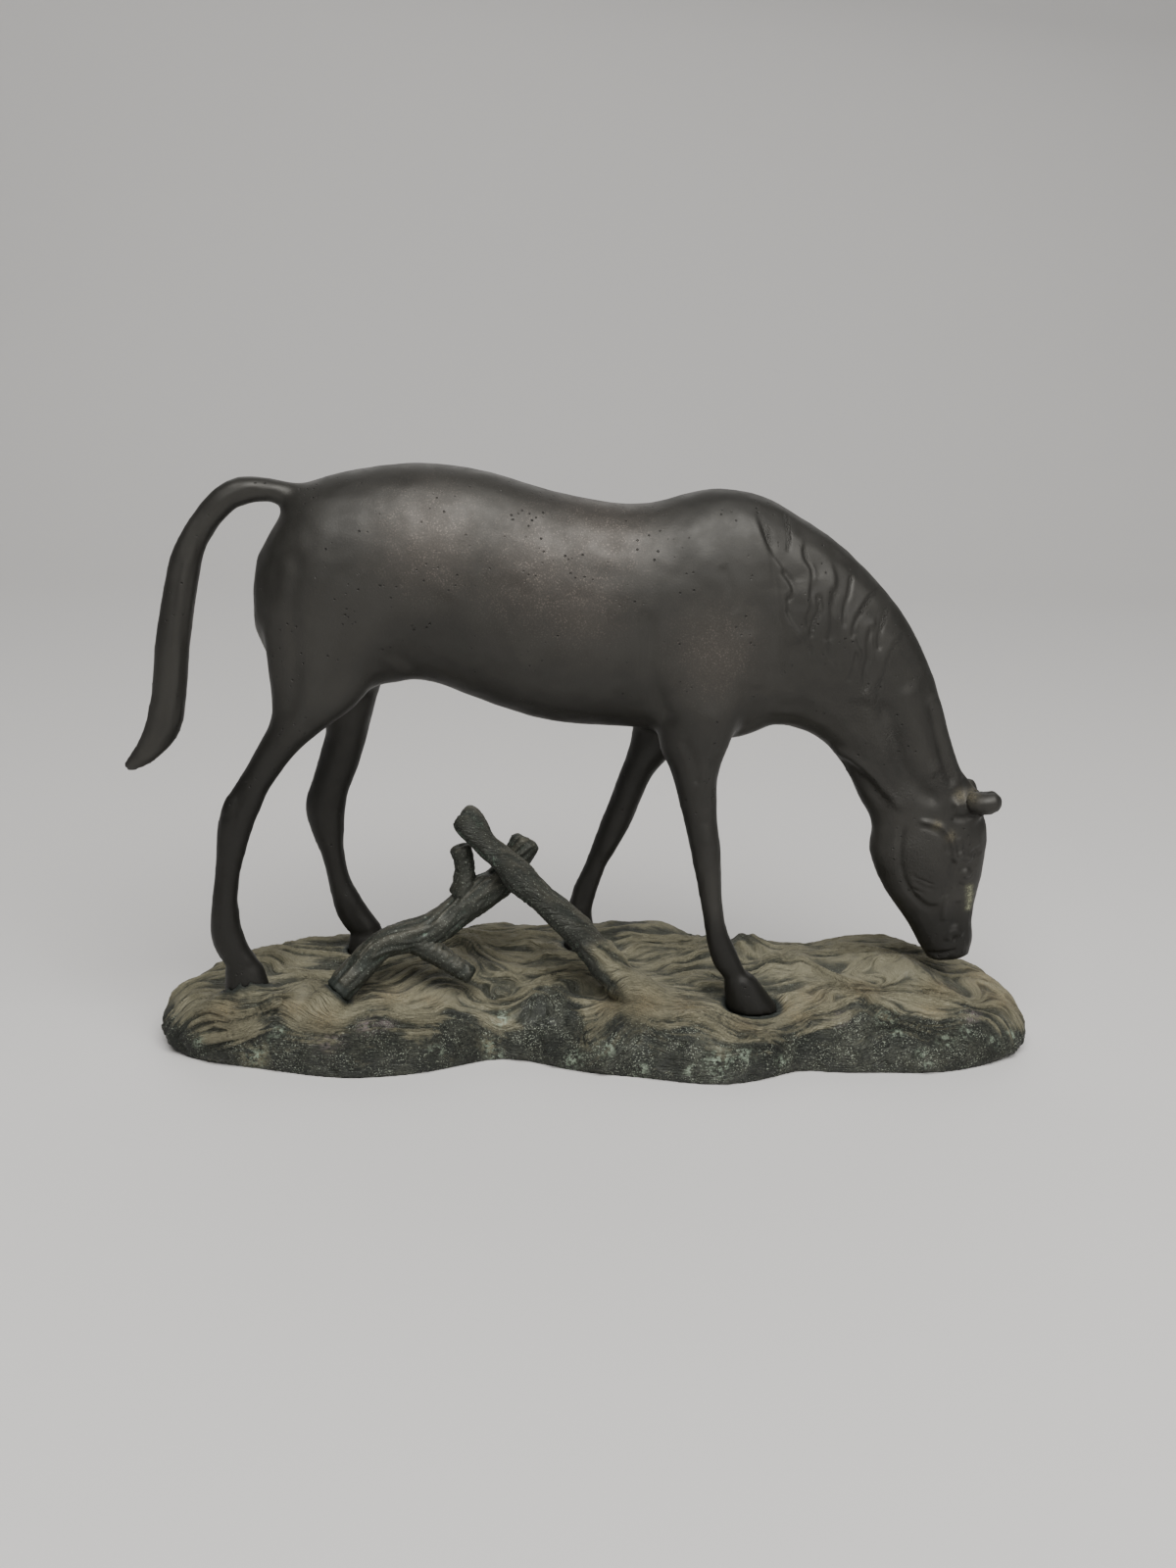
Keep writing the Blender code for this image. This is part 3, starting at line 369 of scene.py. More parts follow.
# Courses of the draped strands.
GROUND_STRANDS = (
    ((-117.6, 46.8), (-109.4, 46), (-105.9, 45.4), (-101.5, 42.7), (-94.4, 41.4), (-86.6, 37.4), (
        -83.1, 37.3
    )),
    ((-115.5, 42.1), (-112.1, 42.8), (-109, 40.9), (-102.5, 32.8), (-98.4, 31), (-94.3, 30.9), (
        -90.3, 31.4
    )),
    ((-114.5, 37.6), (-111.5, 36.5), (-108.3, 32.7), (-100.2, 24.1), (-96.1, 22.4), (-92.1, 22.1), (
        -88.1, 22.3
    )),
    ((-107.3, 20.9), (-102.9, 22.2), (-98.9, 22.6), (-94.3, 21), (-90.1, 18.2)),
    ((-104.7, 8.6), (-101.8, 15.9), (-98.6, 18), (-94.6, 17.8), (-89.6, 8.7)),
    ((-103.8, 3.1), (-101.2, 9.8), (-98.3, 14.6), (-95.6, 15.3), (-91.2, 6.9)),
    ((-102.8, -7.1), (-100, -9.4), (-96.7, -11.9), (-92.8, -13.3), (-88.4, -14.3), (-84, -15.7)),
    ((-136.4, -2.8), (-133.7, -0.2), (-125.6, -1.9), (-121.5, -4.3), (-119.2, -6.1), (-112.5, -5.1), (
        -109.4, -3.1
    )),
    ((-135.6, -6.7), (-132, -5.3), (-127.3, -5.3), (-123.2, -6.6)),
    ((-133.6, -9.7), (-129.5, -9.3), (-125.4, -8.8), (-121.4, -10.3), (-116.9, -10.5), (-112.5, -8.2), (
        -109.3, -6.1
    )),
    ((-131.8, -12.2), (-127.2, -12.5), (-122.6, -12.5), (-118.6, -11.4), (-113.6, -10.5), (-109.8, -7.9)),
    ((-130.7, -14.4), (-126, -14.9), (-121.5, -14.6), (-116.9, -14.1), (-112.4, -13), (-108.1, -11.1), (
        -104.9, -8.7
    )),
    ((-127.8, -17.6), (-122.6, -17.4), (-118.1, -17), (-113.6, -15.3), (-109.2, -13.8), (-105.4, -11.1)),
    ((-142.5, 7.1), (-141.8, 15), (-139.5, 20.2), (-136, 22.2), (-132.4, 22.8), (-128.7, 21.4)),
    ((-140.6, 2.3), (-138.8, 7.4), (-135.7, 10.9), (-132.2, 11.5), (-128.1, 8.9)),
    ((-144.4, 14.3), (-142.7, 20.9), (-139.8, 26.8), (-136.4, 29.4), (-131.8, 32.1), (-126.8, 30.8)),
    ((-50, 57), (-44.1, 56.1), (-40.6, 54), (-33.5, 51.3), (-23.5, 51.6), (-19.3, 54.2), (-9.9, 52.1)),
    ((-48.2, 52.5), (-40, 50.4), (-35.9, 47.8), (-27.7, 45.6), (-19.4, 47.3), (-16, 43.4), (-7.7, 38.2)),
    ((-35.9, 40.7), (-32.4, 38.1), (-27.8, 35.7), (-23.2, 34.3), (-18.6, 34.3), (-14, 34.8), (-9.5, 34.1)),
    ((-33.1, 30.8), (-29.1, 28.5), (-25.1, 26.3), (-21, 25.4), (-16.5, 24.4), (-11.9, 24.9), (-7.4, 25.2)),
    ((-32.6, 6.9), (-28.1, 8), (-23.6, 8.7), (-20.2, 10.4), (-17.3, 11.9)),
    ((-72.1, 18.3), (-69.4, 20.7), (-66.7, 24.5), (-63.4, 27), (-60, 29.9), (-56.6, 32.7), (-53.8, 35.8)),
    ((-72, 14.9), (-68.7, 15.6), (-65.4, 18.1), (-62.1, 22.4), (-58.8, 27.6), (-55.5, 31.4)),
    ((-71.7, 6.6), (-68.3, 5.5), (-64.4, 4), (-60.6, 6.8), (-57.3, 11.7), (-53.5, 16.3)),
    ((-71.5, 2.1), (-67.1, 1.7), (-62.7, 2.4), (-58.3, 4.8), (-54.5, 7.1), (-51.2, 10.6), (-48.4, 14)),
    ((-69.7, -4.3), (-65.8, -6.5), (-61.4, -8.2), (-57, -7.4), (-52.6, -7), (-49.3, -5.6), (-46.6, -2.4)),
    ((-62.9, -15), (-59, -15.1), (-54.7, -14.2), (-52, -13.3)),
    ((-43.9, 7.8), (-40.5, 4.2), (-36, 2), (-31.5, 1.5), (-27, 2.4), (-23.1, 3.6)),
    ((9.1, 53.4), (13.8, 52.5), (18.6, 53), (23.9, 52.5), (28.7, 52.2), (34.7, 51.7), (38.4, 51.7)),
    ((8.9, 49.7), (13, 48.9), (22.6, 50.2), (27.4, 50.3), (32.1, 48.9), (40.8, 52), (45.3, 53.4)),
    ((13.1, 37.9), (17.4, 41.8), (21.8, 45.6), (30.7, 45.9), (35.4, 44.6), (40.4, 47), (44.9, 49.6)),
    ((18.7, 33.7), (23.1, 37.5), (27.3, 39.9), (32.1, 40.7), (36.4, 42.3), (41.4, 44.6), (45.1, 45.7)),
    ((24.8, 28.8), (29.2, 32.8), (33.5, 35.5), (37.2, 36.8), (41.1, 40.8), (45.5, 43.1)),
    ((26.4, 26.3), (31.2, 29), (36.1, 30.5), (40.4, 33.2), (44.2, 35.9)),
    ((29.9, 21), (34.9, 24.5), (39.8, 26.6), (43.8, 25.4), (47.5, 22.2)),
    ((37.5, 14.6), (41.2, 16.9), (45.3, 17.2), (48.6, 16.1)),
    ((16.4, -9), (24, -12.9), (27.9, -13.9), (31.8, -12.8), (38.4, -14.7), (45.7, -20.4), (50.1, -22.9)),
    ((2.1, -12.5), (6.7, -7.6), (9.5, -4.3), (12.3, -1.8)),
    ((2, -25.7), (6.3, -22.8), (10.2, -16.8), (13.1, -12)),
    ((56.6, 52), (59, 46.6), (61.3, 40.4), (63.7, 35.1)),
    ((62.8, 52.8), (66.5, 48.6), (70.4, 45.8), (75.3, 46.2), (80.1, 49.1), (85.2, 50.5)),
    ((60.6, 24.4), (65.2, 28.4), (69.4, 29.1), (73.9, 27.8), (78.3, 25.8), (81.5, 23.9)),
    ((67.1, 20.5), (70.8, 22.5), (75, 23.2), (78.8, 21.2)),
    ((67.7, 5.5), (71.4, 8.7), (75, 9.6), (78.9, 8.9)),
    ((63.7, -10.7), (67.4, -8.3), (71.7, -5.5), (75.9, -3.1), (78.3, -1.7)),
    ((30.2, -1.2), (34.9, -1.3), (39.4, -1.8), (43.3, -3.6), (45.9, -5.7)),
    ((83.8, 52.1), (88, 52.1), (92.9, 53.5), (102.1, 53.2), (106.9, 53.5), (112, 53.9), (115.6, 53)),
    ((75.7, 44.7), (85.3, 44.2), (90.2, 45.2), (99.3, 43.9), (108.8, 43.5), (113.5, 42.5), (123.8, 43.8)),
    ((79.1, 35.5), (83.6, 37.7), (88.6, 39), (97.8, 41.4), (101.5, 39.2), (105.3, 37), (109.6, 34.2)),
    ((112.4, 36.4), (117, 35.4), (123.7, 28.8), (125.7, 26.5), (129.8, 24.9), (140.9, 28.3), (145.2, 29.3)),
    ((110.5, 39.6), (116.5, 38.8), (121.9, 37.9), (127.2, 38.6), (132.9, 38), (139.7, 40.6), (143.7, 36.3)),
    ((89.8, 24.5), (94, 28.4), (97.8, 33.6), (101.3, 37.3), (104.4, 38.4)),
    ((92.5, 23.1), (96.6, 26.9), (100.4, 32.1), (103.9, 35.2), (107, 36.4)),
    ((73.6, 29.9), (77.1, 29.9), (80.9, 27.2), (84.2, 21.9), (87.5, 17.3), (91.1, 14.2), (94.4, 13)),
    ((69.1, -8.1), (74, -5), (78.8, -2.2), (83.5, 0.5), (88.5, 3.6), (92.2, 5.8), (95.3, 7.5)),
    ((68.4, -16.6), (72.1, -14.3), (76.2, -12.4), (84.2, -9.3), (88.2, -8.6), (92, -4.7), (95.1, -2.7)),
    ((141.7, 31.5), (144.6, 29.8), (147.5, 25.5), (150.2, 20), (152.9, 16.6), (154, 8.2)),
    ((140.4, 23.9), (144.7, 22.7), (147.6, 18.4), (150.2, 12.9)),
    ((125.5, 5), (130.1, 4.1), (134.6, 2.4), (140.2, 5.2), (146.2, 8.4), (149.4, 7.4)),
    ((103.1, 9.4), (107.6, 8.3), (112, 7.2), (116.3, 5), (120.7, 3.9), (124.9, 1.6), (129.4, 0.6)),
    ((95.6, 9.3), (100.4, 7), (104.7, 4.9), (110, 1.6), (115.3, -1.6), (120.8, -3.5), (126.6, -2.8)),
)

# Where the tan patina of the top ends in front, and the stains and painted shadows of the ground.
TOP_EDGE = (
    (-142.4, 2.3), (-138.8, -3.6), (-135.5, -9), (-132.4, -12.1), (-130.1, -15.2), (-125.5, -18.6),
    (-120.4, -18.5), (-115.8, -17.1), (-111.3, -14.4), (-107.7, -5.2), (-105, -6.4), (-102.7, -11),
    (-99.3, -15), (-95.9, -17.6), (-91.5, -19.5), (-86, -20.3), (-83.4, -18.3), (-80.4, -11.3),
    (-77.8, -7.4), (-72.4, -6.3), (-67.9, -8.1), (-64, -13.4), (-60.1, -16.5), (-54.7, -15.5), (-50.9, -11),
    (-48.2, -3.5), (-45.5, -0.8), (-41.6, -1.6), (-37.1, -4.2), (-32.6, -6.8), (-27, -6.5), (-23.7, -3.9),
    (-21.4, 0.8), (-18, 9.1), (-14.6, 9.9), (-9, 8.8), (-5.7, 5.4), (-2.5, 1.1), (-0.1, -15.7),
    (3.3, -10.9), (7.8, -5.9), (11.8, -2.2), (14.9, -5.2), (17.6, -8.3), (21.3, -10.3), (26.2, -13.8),
    (31.8, -13.8), (35, -14.7), (39.2, -17.7), (43.4, -23.2), (48.3, -23.9), (54, -23.5), (59.8, -21.7),
    (66.1, -16.1), (72.4, -10.7), (77.7, -7.1), (81.9, -10.5), (85.4, -8.5), (89.4, -2.7), (93, 3.6),
    (96.7, 4.8), (100.5, -0.7), (104.6, -4.6), (108.8, -7.5), (114.4, -8.5), (120.1, -8.4), (125.5, -7.2),
    (130.3, -2.1), (133, 0.1), (135.6, -3.2), (138.3, -7), (141.9, -11.8), (145.3, -15.1)
)
GROUND_STAINS_AND_SHADOWS = dict(
    verdigris=(
        (-111.3, -22.9, 2.7), (-103.7, -13.4, 1.7), (-105.9, -16.8, 1.4), (-29.1, -3.7, 3.1),
        (-33.1, -14.5, 2), (-31.4, -18.1, 2.4), (-5, -25, 3.1), (-51.3, -21.4, 2), (43.5, -32.3, 4.4),
        (52.1, -28, 2.7), (33.8, -34.6, 1.7), (65.6, -27.7, 2), (113.9, -22.9, 1.7), (116.1, -27.2, 1.2),
        (122.8, -17.5, 2.7), (105.9, -13.8, 2), (102.6, -5.6, 2.7), (130.4, -12.2, 2.4), (140.6, -13.9, 2),
        (148.2, -8.7, 1.7), (-130.7, -13.7, 1.7), (6.3, -22, 2.7), (17.8, -32, 2),
    ),
    pale=(
        (-139.9, 23, 2.7), (-33.1, -14.5, 3.4), (-111.3, -22.9, 4.8), (3.4, -7.4, 4.1), (-56.3, -14.9, 3.4),
        (-0.2, -17.5, 3.4),
    ),
    rose=(
        (-74.4, -12, 3.4), (-87.2, -19.2, 4.1), (-67.9, -10.6, 2.7), (86.3, -5.6, 3.4), (133, -4.6, 2.7),
    ),
    shadow=(
        (-140.7, -4.5, 7), (-146, 8, 8), (-148, 22, 7), (-127.2, -7.5, 3.4), (-105.3, -16.8, 4.8),
        (-95.2, -24.4, 4.8), (-88.6, -30.9, 4.1), (-18.1, -1.4, 3.4), (-26.4, -9.6, 2.7),
        (19.4, -18.6, 4.8), (13.2, -7.7, 2.7), (17, 57.2, 6.1), (24.7, 62.8, 4.8), (57.3, 41.6, 3.4),
        (116.1, 21.2, 4.8), (108, 25.9, 2.7), (125.4, -8.1, 3.4), (136.5, -6.6, 2.7), (66.9, -14.1, 3.4),
        (-53.6, 20, 3.4), (-45.2, 39.7, 3.4), (-36.5, 26.1, 2.7),
    ),
    warm=(
        (-122, -3.6, 5.4), (-99.2, -2.7, 4.8), (-89.1, -8.3, 5.4), (-66.7, 5.5, 6.8), (-53.3, 2.9, 4.8),
        (6.9, -0.8, 5.4), (20, -0.5, 6.8), (33.7, -1.5, 6.8), (53.1, -12.9, 5.4), (68.4, 1.2, 6.1),
        (72.9, -5, 4.8), (79.2, 7.2, 6.8), (96.9, 10.5, 6.8), (125, 11.2, 6.8), (119.2, -2.6, 5.4),
        (141.7, 18.7, 5.4), (148, 12, 9), (144, 28, 7),
    ),
    dull=(
        (-43, 5, 8), (-32, 4, 5), (-102.6, 40.7, 8.8), (-87.9, 30.2, 6.8), (-25.9, 50.3, 10.2),
        (-12.1, 40.4, 8.8), (-0.5, 21.8, 6.8), (-40, 54, 6.8), (38.1, 47.9, 8.8), (20, 46.7, 5.4),
        (44, 33.3, 6.1), (84.4, 42.7, 8.8), (99.5, 49.2, 6.8), (122.2, 50.5, 4.8),
    ),
)

# Middles of the two branches' feet, which melt into the ground, in millimetres.
BRANCH_FEET = ((-89, -19, 19), (19, -16.5, 21))

# Reach of the ground's parts, in millimetres, as for the horse. A gap is the distance to the next casting.
FOOT_REACH = (17, 8)
FOOT_BASE = (10, 16)
FOOT_GAP = (0.4, 2.0)
SOCKET_GAP = (4.0, 1.5)
SOCKET_BASE = (16, 19)
FAR_GAP = 20
TOUCH_GAP = (0.6, 4.0)
SEAM_GAP = (2.6, 1.0)
RING_GAP = (3.4, 2.0)
RING_END = -70
RING_CALM = 0.7
BRANCH_REACH = (8.5, 6.5)
BRANCH_BASE = (21, 25)
BRANCH_ONLY = (40, 44)
BARED_SLOPE = 0.75
BARED_HEIGHT = 29
BARED_END = (11, 6)
TAN_EDGE = (-14, 12)
TAN_BASE = (5, 12)
STRAND_EDGE = (-9, 1)
FLAT_EDGE = (0.5, 3.0)

# The ground's crests: share of the broad waves, millimetres of a fold that count as much as a strand, and
# how high a foot stands among them. Its strands: share of the broad waves, share left on the sides, share
# of the relief that a foot takes away, and the flow's whole range in millimetres.
CREST_BROAD = 0.20
CREST_FOLD = 10
FOOT_CREST = 0.75
STRAND_BROAD = 0.8
SIDE_STRANDS = 0.15
FOOT_CALM = 0.8
FLOW_RANGE = 200

# Fineness of the strands at the back and in front, and their layers: share, length and thinness against
# the spacing, and seed.
BACK_FLOW = 0.62
FRONT_FLOW = 1.15
STRAND_LAYERS = ((0.50, 8, 1.0, 7), (0.40, 6, 2.0, 8), (0.24, 4, 3.6, 9))

# Sway of the strands, and its sizes along, across and up, in millimetres.
FLOW_SWAY = 1.2
FLOW_SWAY_SIZES = (26, 18, 40)

# Waves of the tan's edge, lumps of the rough sides and grain of the top: rise and size in millimetres, and
# seed.
EDGE_WAVES = ((2.2, 7, 15), (1.0, 2.6, 16))
TOP_GRAIN = (0.10, 2, 13)
SIDE_LUMPS = ((1.5, 10, 10), (1.0, 4.5, 11), (0.45, 1.9, 12))

# Courses of the two branches, in millimetres: places along, across and up.
LEANING_COURSE = (
    (-50, -10, 90), (-42, -11, 81), (-28, -13, 68), (-10, -14, 50), (4, -15, 37), (16, -16, 28),
    (30, -18, 18)
)
FORKED_COURSE = (
    (-95, -20, 18), (-84, -18, 30), (-70, -13, 41), (-56, -10, 44), (-42, -6, 56), (-30, -2, 66),
    (-20, 1, 76)
)


def colour_setting(name, description, default):
    """A colour setting."""
    return FloatVectorProperty(name=name, description=description, default=default, size=3, subtype="COLOR")


def length_setting(name, description, size, least=0.0):
    """A length setting, with its default and its least value in millimetres."""
    return FloatProperty(
        name=name, description=description, default=size * MM, min=least * MM, unit="LENGTH"
    )


def power_setting(name, description, default):
    """A lamp's power setting, in watts."""
    return FloatProperty(name=name, description=description, default=default, min=0.0, unit="POWER")


class HorseFinish(bpy.types.PropertyGroup):
    """Sizes and colours of the horse's cast surface."""

    grain: length_setting("Grain", "Spacing of the cast surface", 1.24, least=0.5)
    carving: FloatProperty(
        name="Carving", description="Depth of the carved lines as a factor", default=1.0, subtype="FACTOR"
    )
    pitting: length_setting("Pitting", "Depth of the casting pits", 0.12)
    bronze: colour_setting("Bronze", "Dark brown patina", (0.037, 0.0355, 0.0315))
    # The darker colour below is painted shade on the legs and the muzzle, and also the colour of the casting
    # pits.
    deep: colour_setting("Deep", "Darker bronze of the legs and muzzle", (0.011, 0.0105, 0.009))
    # The rubbed colour below is worn bronze that also serves as a painted highlight where the patches face
    # the light.
    worn_and_sheen_bronze: colour_setting("Rubbed", "Bronze where the patina is worn", (0.120, 0.103, 0.089))
    verdigris: colour_setting("Verdigris", "Pale green deposit", (0.30, 0.31, 0.20))
    dust: colour_setting("Dust", "Tan deposit in hollows", (0.115, 0.102, 0.070))


class GroundFinish(bpy.types.PropertyGroup):
    """Sizes and colours of the cast ground."""

    grain: length_setting("Grain", "Spacing of the cast surface", 0.84, least=0.5)
    strand_spacing: length_setting("Strand spacing", "Distance between the grass strands", 3.1)
    strand_rise: length_setting("Strand rise", "Height of the grass strands", 1.2)
    tan: colour_setting("Tan", "Tan patina on the strands", (0.182, 0.170, 0.111))
    warm: colour_setting("Warm tan", "Warmer tan in the hollows of the front", (0.208, 0.172, 0.098))
    olive: colour_setting("Olive", "Olive patina between the strands", (0.036, 0.037, 0.025))
    # The dark colour below is the patina of the sides, and also the colour of the painted shadow patches on
    # the top.
    dark: colour_setting("Dark", "Dark green patina of the sides", (0.017, 0.0195, 0.015))
    grey: colour_setting("Grey", "Grey-green patina of the sides", (0.048, 0.051, 0.038))
    rose: colour_setting("Rose", "Reddish grey stains", (0.165, 0.135, 0.130))
    pale: colour_setting("Pale", "Pale olive patches of the sides", (0.195, 0.185, 0.120))
    speck: colour_setting("Specks", "Pale specks of the sides", (0.30, 0.33, 0.26))
    # The seam colour below is the dark ring at the branch's foot, and also painted shade on the ground
    # around the hooves.
    seam: colour_setting("Seam", "Dark green ring at the branch's foot", (0.017, 0.021, 0.017))
    verdigris: colour_setting("Verdigris", "Pale green patches", (0.27, 0.33, 0.25))


class BranchFinish(bpy.types.PropertyGroup):
    """Sizes and colours of the branches."""

    grain: length_setting("Grain", "Spacing of the cast surface", 0.5, least=0.3)
    bark_rise: length_setting("Bark rise", "Depth of the bark", 0.75)
    bark_width: length_setting("Bark width", "Width of the bark's ridges", 2.3)
    bark: colour_setting("Bark", "Olive brown of the bark", (0.022, 0.024, 0.0185))
    seam: colour_setting("Seam", "Dark green ring at the branch's foot", (0.017, 0.022, 0.018))
    worn: colour_setting("Worn", "Tan of the upper ridges", (0.060, 0.057, 0.042))
    speck: colour_setting("Specks", "Pale specks of the bark", (0.20, 0.22, 0.18))
    groove: colour_setting("Groove", "Dark of the grooves", (0.020, 0.024, 0.019))
    verdigris: colour_setting("Verdigris", "Green in the grooves", (0.105, 0.150, 0.115))


class StudioSettings(bpy.types.PropertyGroup):
    """The floor and the light."""

    floor: colour_setting("Floor", "Colour of the floor", (0.62, 0.61, 0.60))
    above: power_setting("Above", "Power of the broad light above", 49.0)
    window: power_setting("Window", "Power of the light from behind", 8.0)
    front: power_setting("Front", "Power of the light from the front", 5.0)
    sky: FloatProperty(name="Sky", description="Strength of the light all round", default=0.10)


def choose(piece):
    """Make a piece the only one selected."""
    bpy.ops.object.select_all(action="DESELECT")
    piece.select_set(True)
    bpy.context.view_layer.objects.active = piece


def copy_casting(name, node):
    """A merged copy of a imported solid, as a piece of its own."""
    piece = bpy.data.objects.new(name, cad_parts[node].data.copy())
    bpy.context.scene.collection.objects.link(piece)
    choose(piece)
    bpy.ops.object.mode_set(mode="EDIT")
    bpy.ops.mesh.select_all(action="SELECT")
    bpy.ops.mesh.remove_doubles(threshold=0.01 * MM)
    bpy.ops.object.mode_set(mode="OBJECT")
    piece.data.materials.clear()
    for attribute in [
        a for a in piece.data.attributes if a.name.startswith("custom") or a.name == "sharp_edge"
    ]:
        piece.data.attributes.remove(attribute)
    return piece


def recast(piece, grain, rounds):
    """Give a piece an even surface mesh and soften the facets of its solid."""
    remesh = piece.modifiers.new("cast surface", "REMESH")
    remesh.mode = "VOXEL"
    remesh.voxel_size = grain
    remesh.use_smooth_shade = True
    soften = piece.modifiers.new("soften", "LAPLACIANSMOOTH")
    soften.iterations = rounds
    soften.lambda_factor = 0.6
    choose(piece)
    for modifier in ("cast surface", "soften"):
        bpy.ops.object.modifier_apply(modifier=modifier)


def melt(piece, weights, rounds):
    """Even out a piece's surface where the weights ask for it."""
    group = piece.vertex_groups.new(name="broad forms")
    steps = np.round(np.clip(weights, 0, 1) * MELT_STEPS).astype(int)
    for step in range(1, MELT_STEPS + 1):
        group.add([int(number) for number in np.flatnonzero(steps == step)], step / MELT_STEPS, "REPLACE")
    soften = piece.modifiers.new("broad forms", "SMOOTH")
    soften.iterations = rounds
    soften.factor = 0.8
    soften.vertex_group = group.name
    choose(piece)
    bpy.ops.object.modifier_apply(modifier="broad forms")
    piece.vertex_groups.clear()


def places_of(piece):
    """Places and normals of a piece's points, as arrays."""
    count = len(piece.data.vertices)
    places, normals = np.zeros(count * 3), np.zeros(count * 3)
    piece.data.vertices.foreach_get("co", places)
    piece.data.vertices.foreach_get("normal", normals)
    return places.reshape(-1, 3), normals.reshape(-1, 3)


def put_places(piece, places):
    """Write a piece's points back, kept inside the castings' own box."""
    inside = np.clip(places, np.array(cad_low), np.array(cad_high))
    piece.data.vertices.foreach_set("co", inside.ravel())
    piece.data.update()


def refine(piece, wanted):
    """Divide the faces whose points are all wanted into four."""
    choose(piece)
    bpy.ops.object.mode_set(mode="EDIT")
    bpy.ops.mesh.select_all(action="DESELECT")
    bpy.ops.object.mode_set(mode="OBJECT")
    chosen = [all(wanted[corner] for corner in face.vertices) for face in piece.data.polygons]
    piece.data.polygons.foreach_set("select", chosen)
    bpy.ops.object.mode_set(mode="EDIT")
    bpy.ops.mesh.select_mode(type="FACE")
    bpy.ops.mesh.subdivide(number_cuts=1, smoothness=0.0)
    bpy.ops.object.mode_set(mode="OBJECT")


def paint(piece, name, values):
    """Keep a value at every point of a piece for its material to read."""
    layer = piece.data.attributes.get(name) or piece.data.attributes.new(name, "FLOAT", "POINT")
    layer.data.foreach_set("value", np.clip(values, 0.0, 1.0).astype(np.float32))


def gap_to(places, nodes):
    """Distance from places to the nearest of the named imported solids, up to the far gap."""
    gap = np.full(len(places), FAR_GAP * MM)
    for name in nodes:
        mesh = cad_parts[name].data
        tree = BVHTree.FromPolygons(
            [point.co for point in mesh.vertices], [face.vertices for face in mesh.polygons]
        )
        for number, place in enumerate(places):
            nearest = tree.find_nearest(place, gap[number])
            if nearest[0] is not None:
                gap[number] = nearest[3]
    return gap


def smooth_step(low, high, values):
    """Rise smoothly from 0 at the low value to 1 at the high one."""
    share = np.clip((values - low) / (high - low), 0.0, 1.0)
    return share * share * (3 - 2 * share)


def rising(values, ends):
    """Rise smoothly from 0 to 1 between two places in millimetres."""
    return smooth_step(ends[0] * MM, ends[1] * MM, values)


def mottle(places, size, seed=0.0):
    """Soft noise between -1 and 1 with lumps of the given size."""
    offset = Vector((seed * 7.3, seed * 3.1, seed * 5.7))
    size = np.broadcast_to(np.array(size, float), 3)
    return np.array([noise.noise(Vector(place) + offset) for place in places / size])


def through(course, steps=6):
    """A smooth curve through the given places."""
    rows = np.array(course, float) * MM
    rows = np.vstack([2 * rows[0] - rows[1], rows, 2 * rows[-1] - rows[-2]])
    line = []
    for a, b, c, d in zip(rows, rows[1:], rows[2:], rows[3:]):
        for t in np.arange(steps) / steps:
            line.append(0.5 * (
                2 * b + (c - a) * t + (2 * a - 5 * b + 4 * c - d) * t**2 + (3 * b - a - 3 * c + d) * t**3
            ))
    return np.array(line + [rows[-2]])


def beside(flat, line):
    """Signed distance of flat places to a line, positive on its right, and the share of its length."""
    start, run = line[:-1], line[1:] - line[:-1]
    length = np.maximum((run**2).sum(1), 1e-12)
    best = np.full(len(flat), 1e9)
    side, share = np.zeros(len(flat)), np.zeros(len(flat))
    for number in range(len(run)):
        offset = flat - start[number]
        along = np.clip(offset @ run[number] / length[number], 0, 1)
        gap = np.hypot(*(offset - along[:, None] * run[number]).T)
        turn = run[number][1] * offset[:, 0] - run[number][0] * offset[:, 1]
        nearer = gap < best
        best = np.where(nearer, gap, best)
        side = np.where(nearer, np.sign(turn), side)
        share = np.where(nearer, (number + along) / len(run), share)
    return best * side, share


def carved(flat, lines, taper=LINE_TAPER):
    """How far the named lines raise or sink flat places, in metres."""
    rise = np.zeros(len(flat))
    for line in lines.values():
        course = through(line.course)
        reach = (3 * line.width + 3 * line.fall) * MM
        near = np.all((flat > course.min(0) - reach) & (flat < course.max(0) + reach), axis=1)
        if not near.any():
            raise ValueError("a carved line misses the casting")
        gap, share = beside(flat[near], course)
        ends = smooth_step(0.0, taper, share) * smooth_step(0.0, taper, 1 - share)
        if line.fall:
            form = np.exp(-np.maximum(gap, 0) / (line.fall * MM)) / (1 + np.exp(
                -gap / (0.5 * line.width * MM)
            ))
        else:
            form = np.exp(-((gap / (line.width * MM)) ** 2))
        rise[near] += line.rise * MM * form * ends
    return rise


def folded(flat, folds):
    """How far the named folds raise flat places of the ground, in metres."""
    rise = np.zeros(len(flat))
    for fold in folds.values():
        gap, share = beside(flat, through(fold.course))
        width = np.where(gap > 0, fold.front, fold.back) * MM
        ends = smooth_step(0.0, FOLD_TAPER, share) * smooth_step(0.0, FOLD_TAPER, 1 - share)
        rise += fold.rise * MM * np.exp(-((np.abs(gap) / width) ** 1.5)) * ends
    return rise


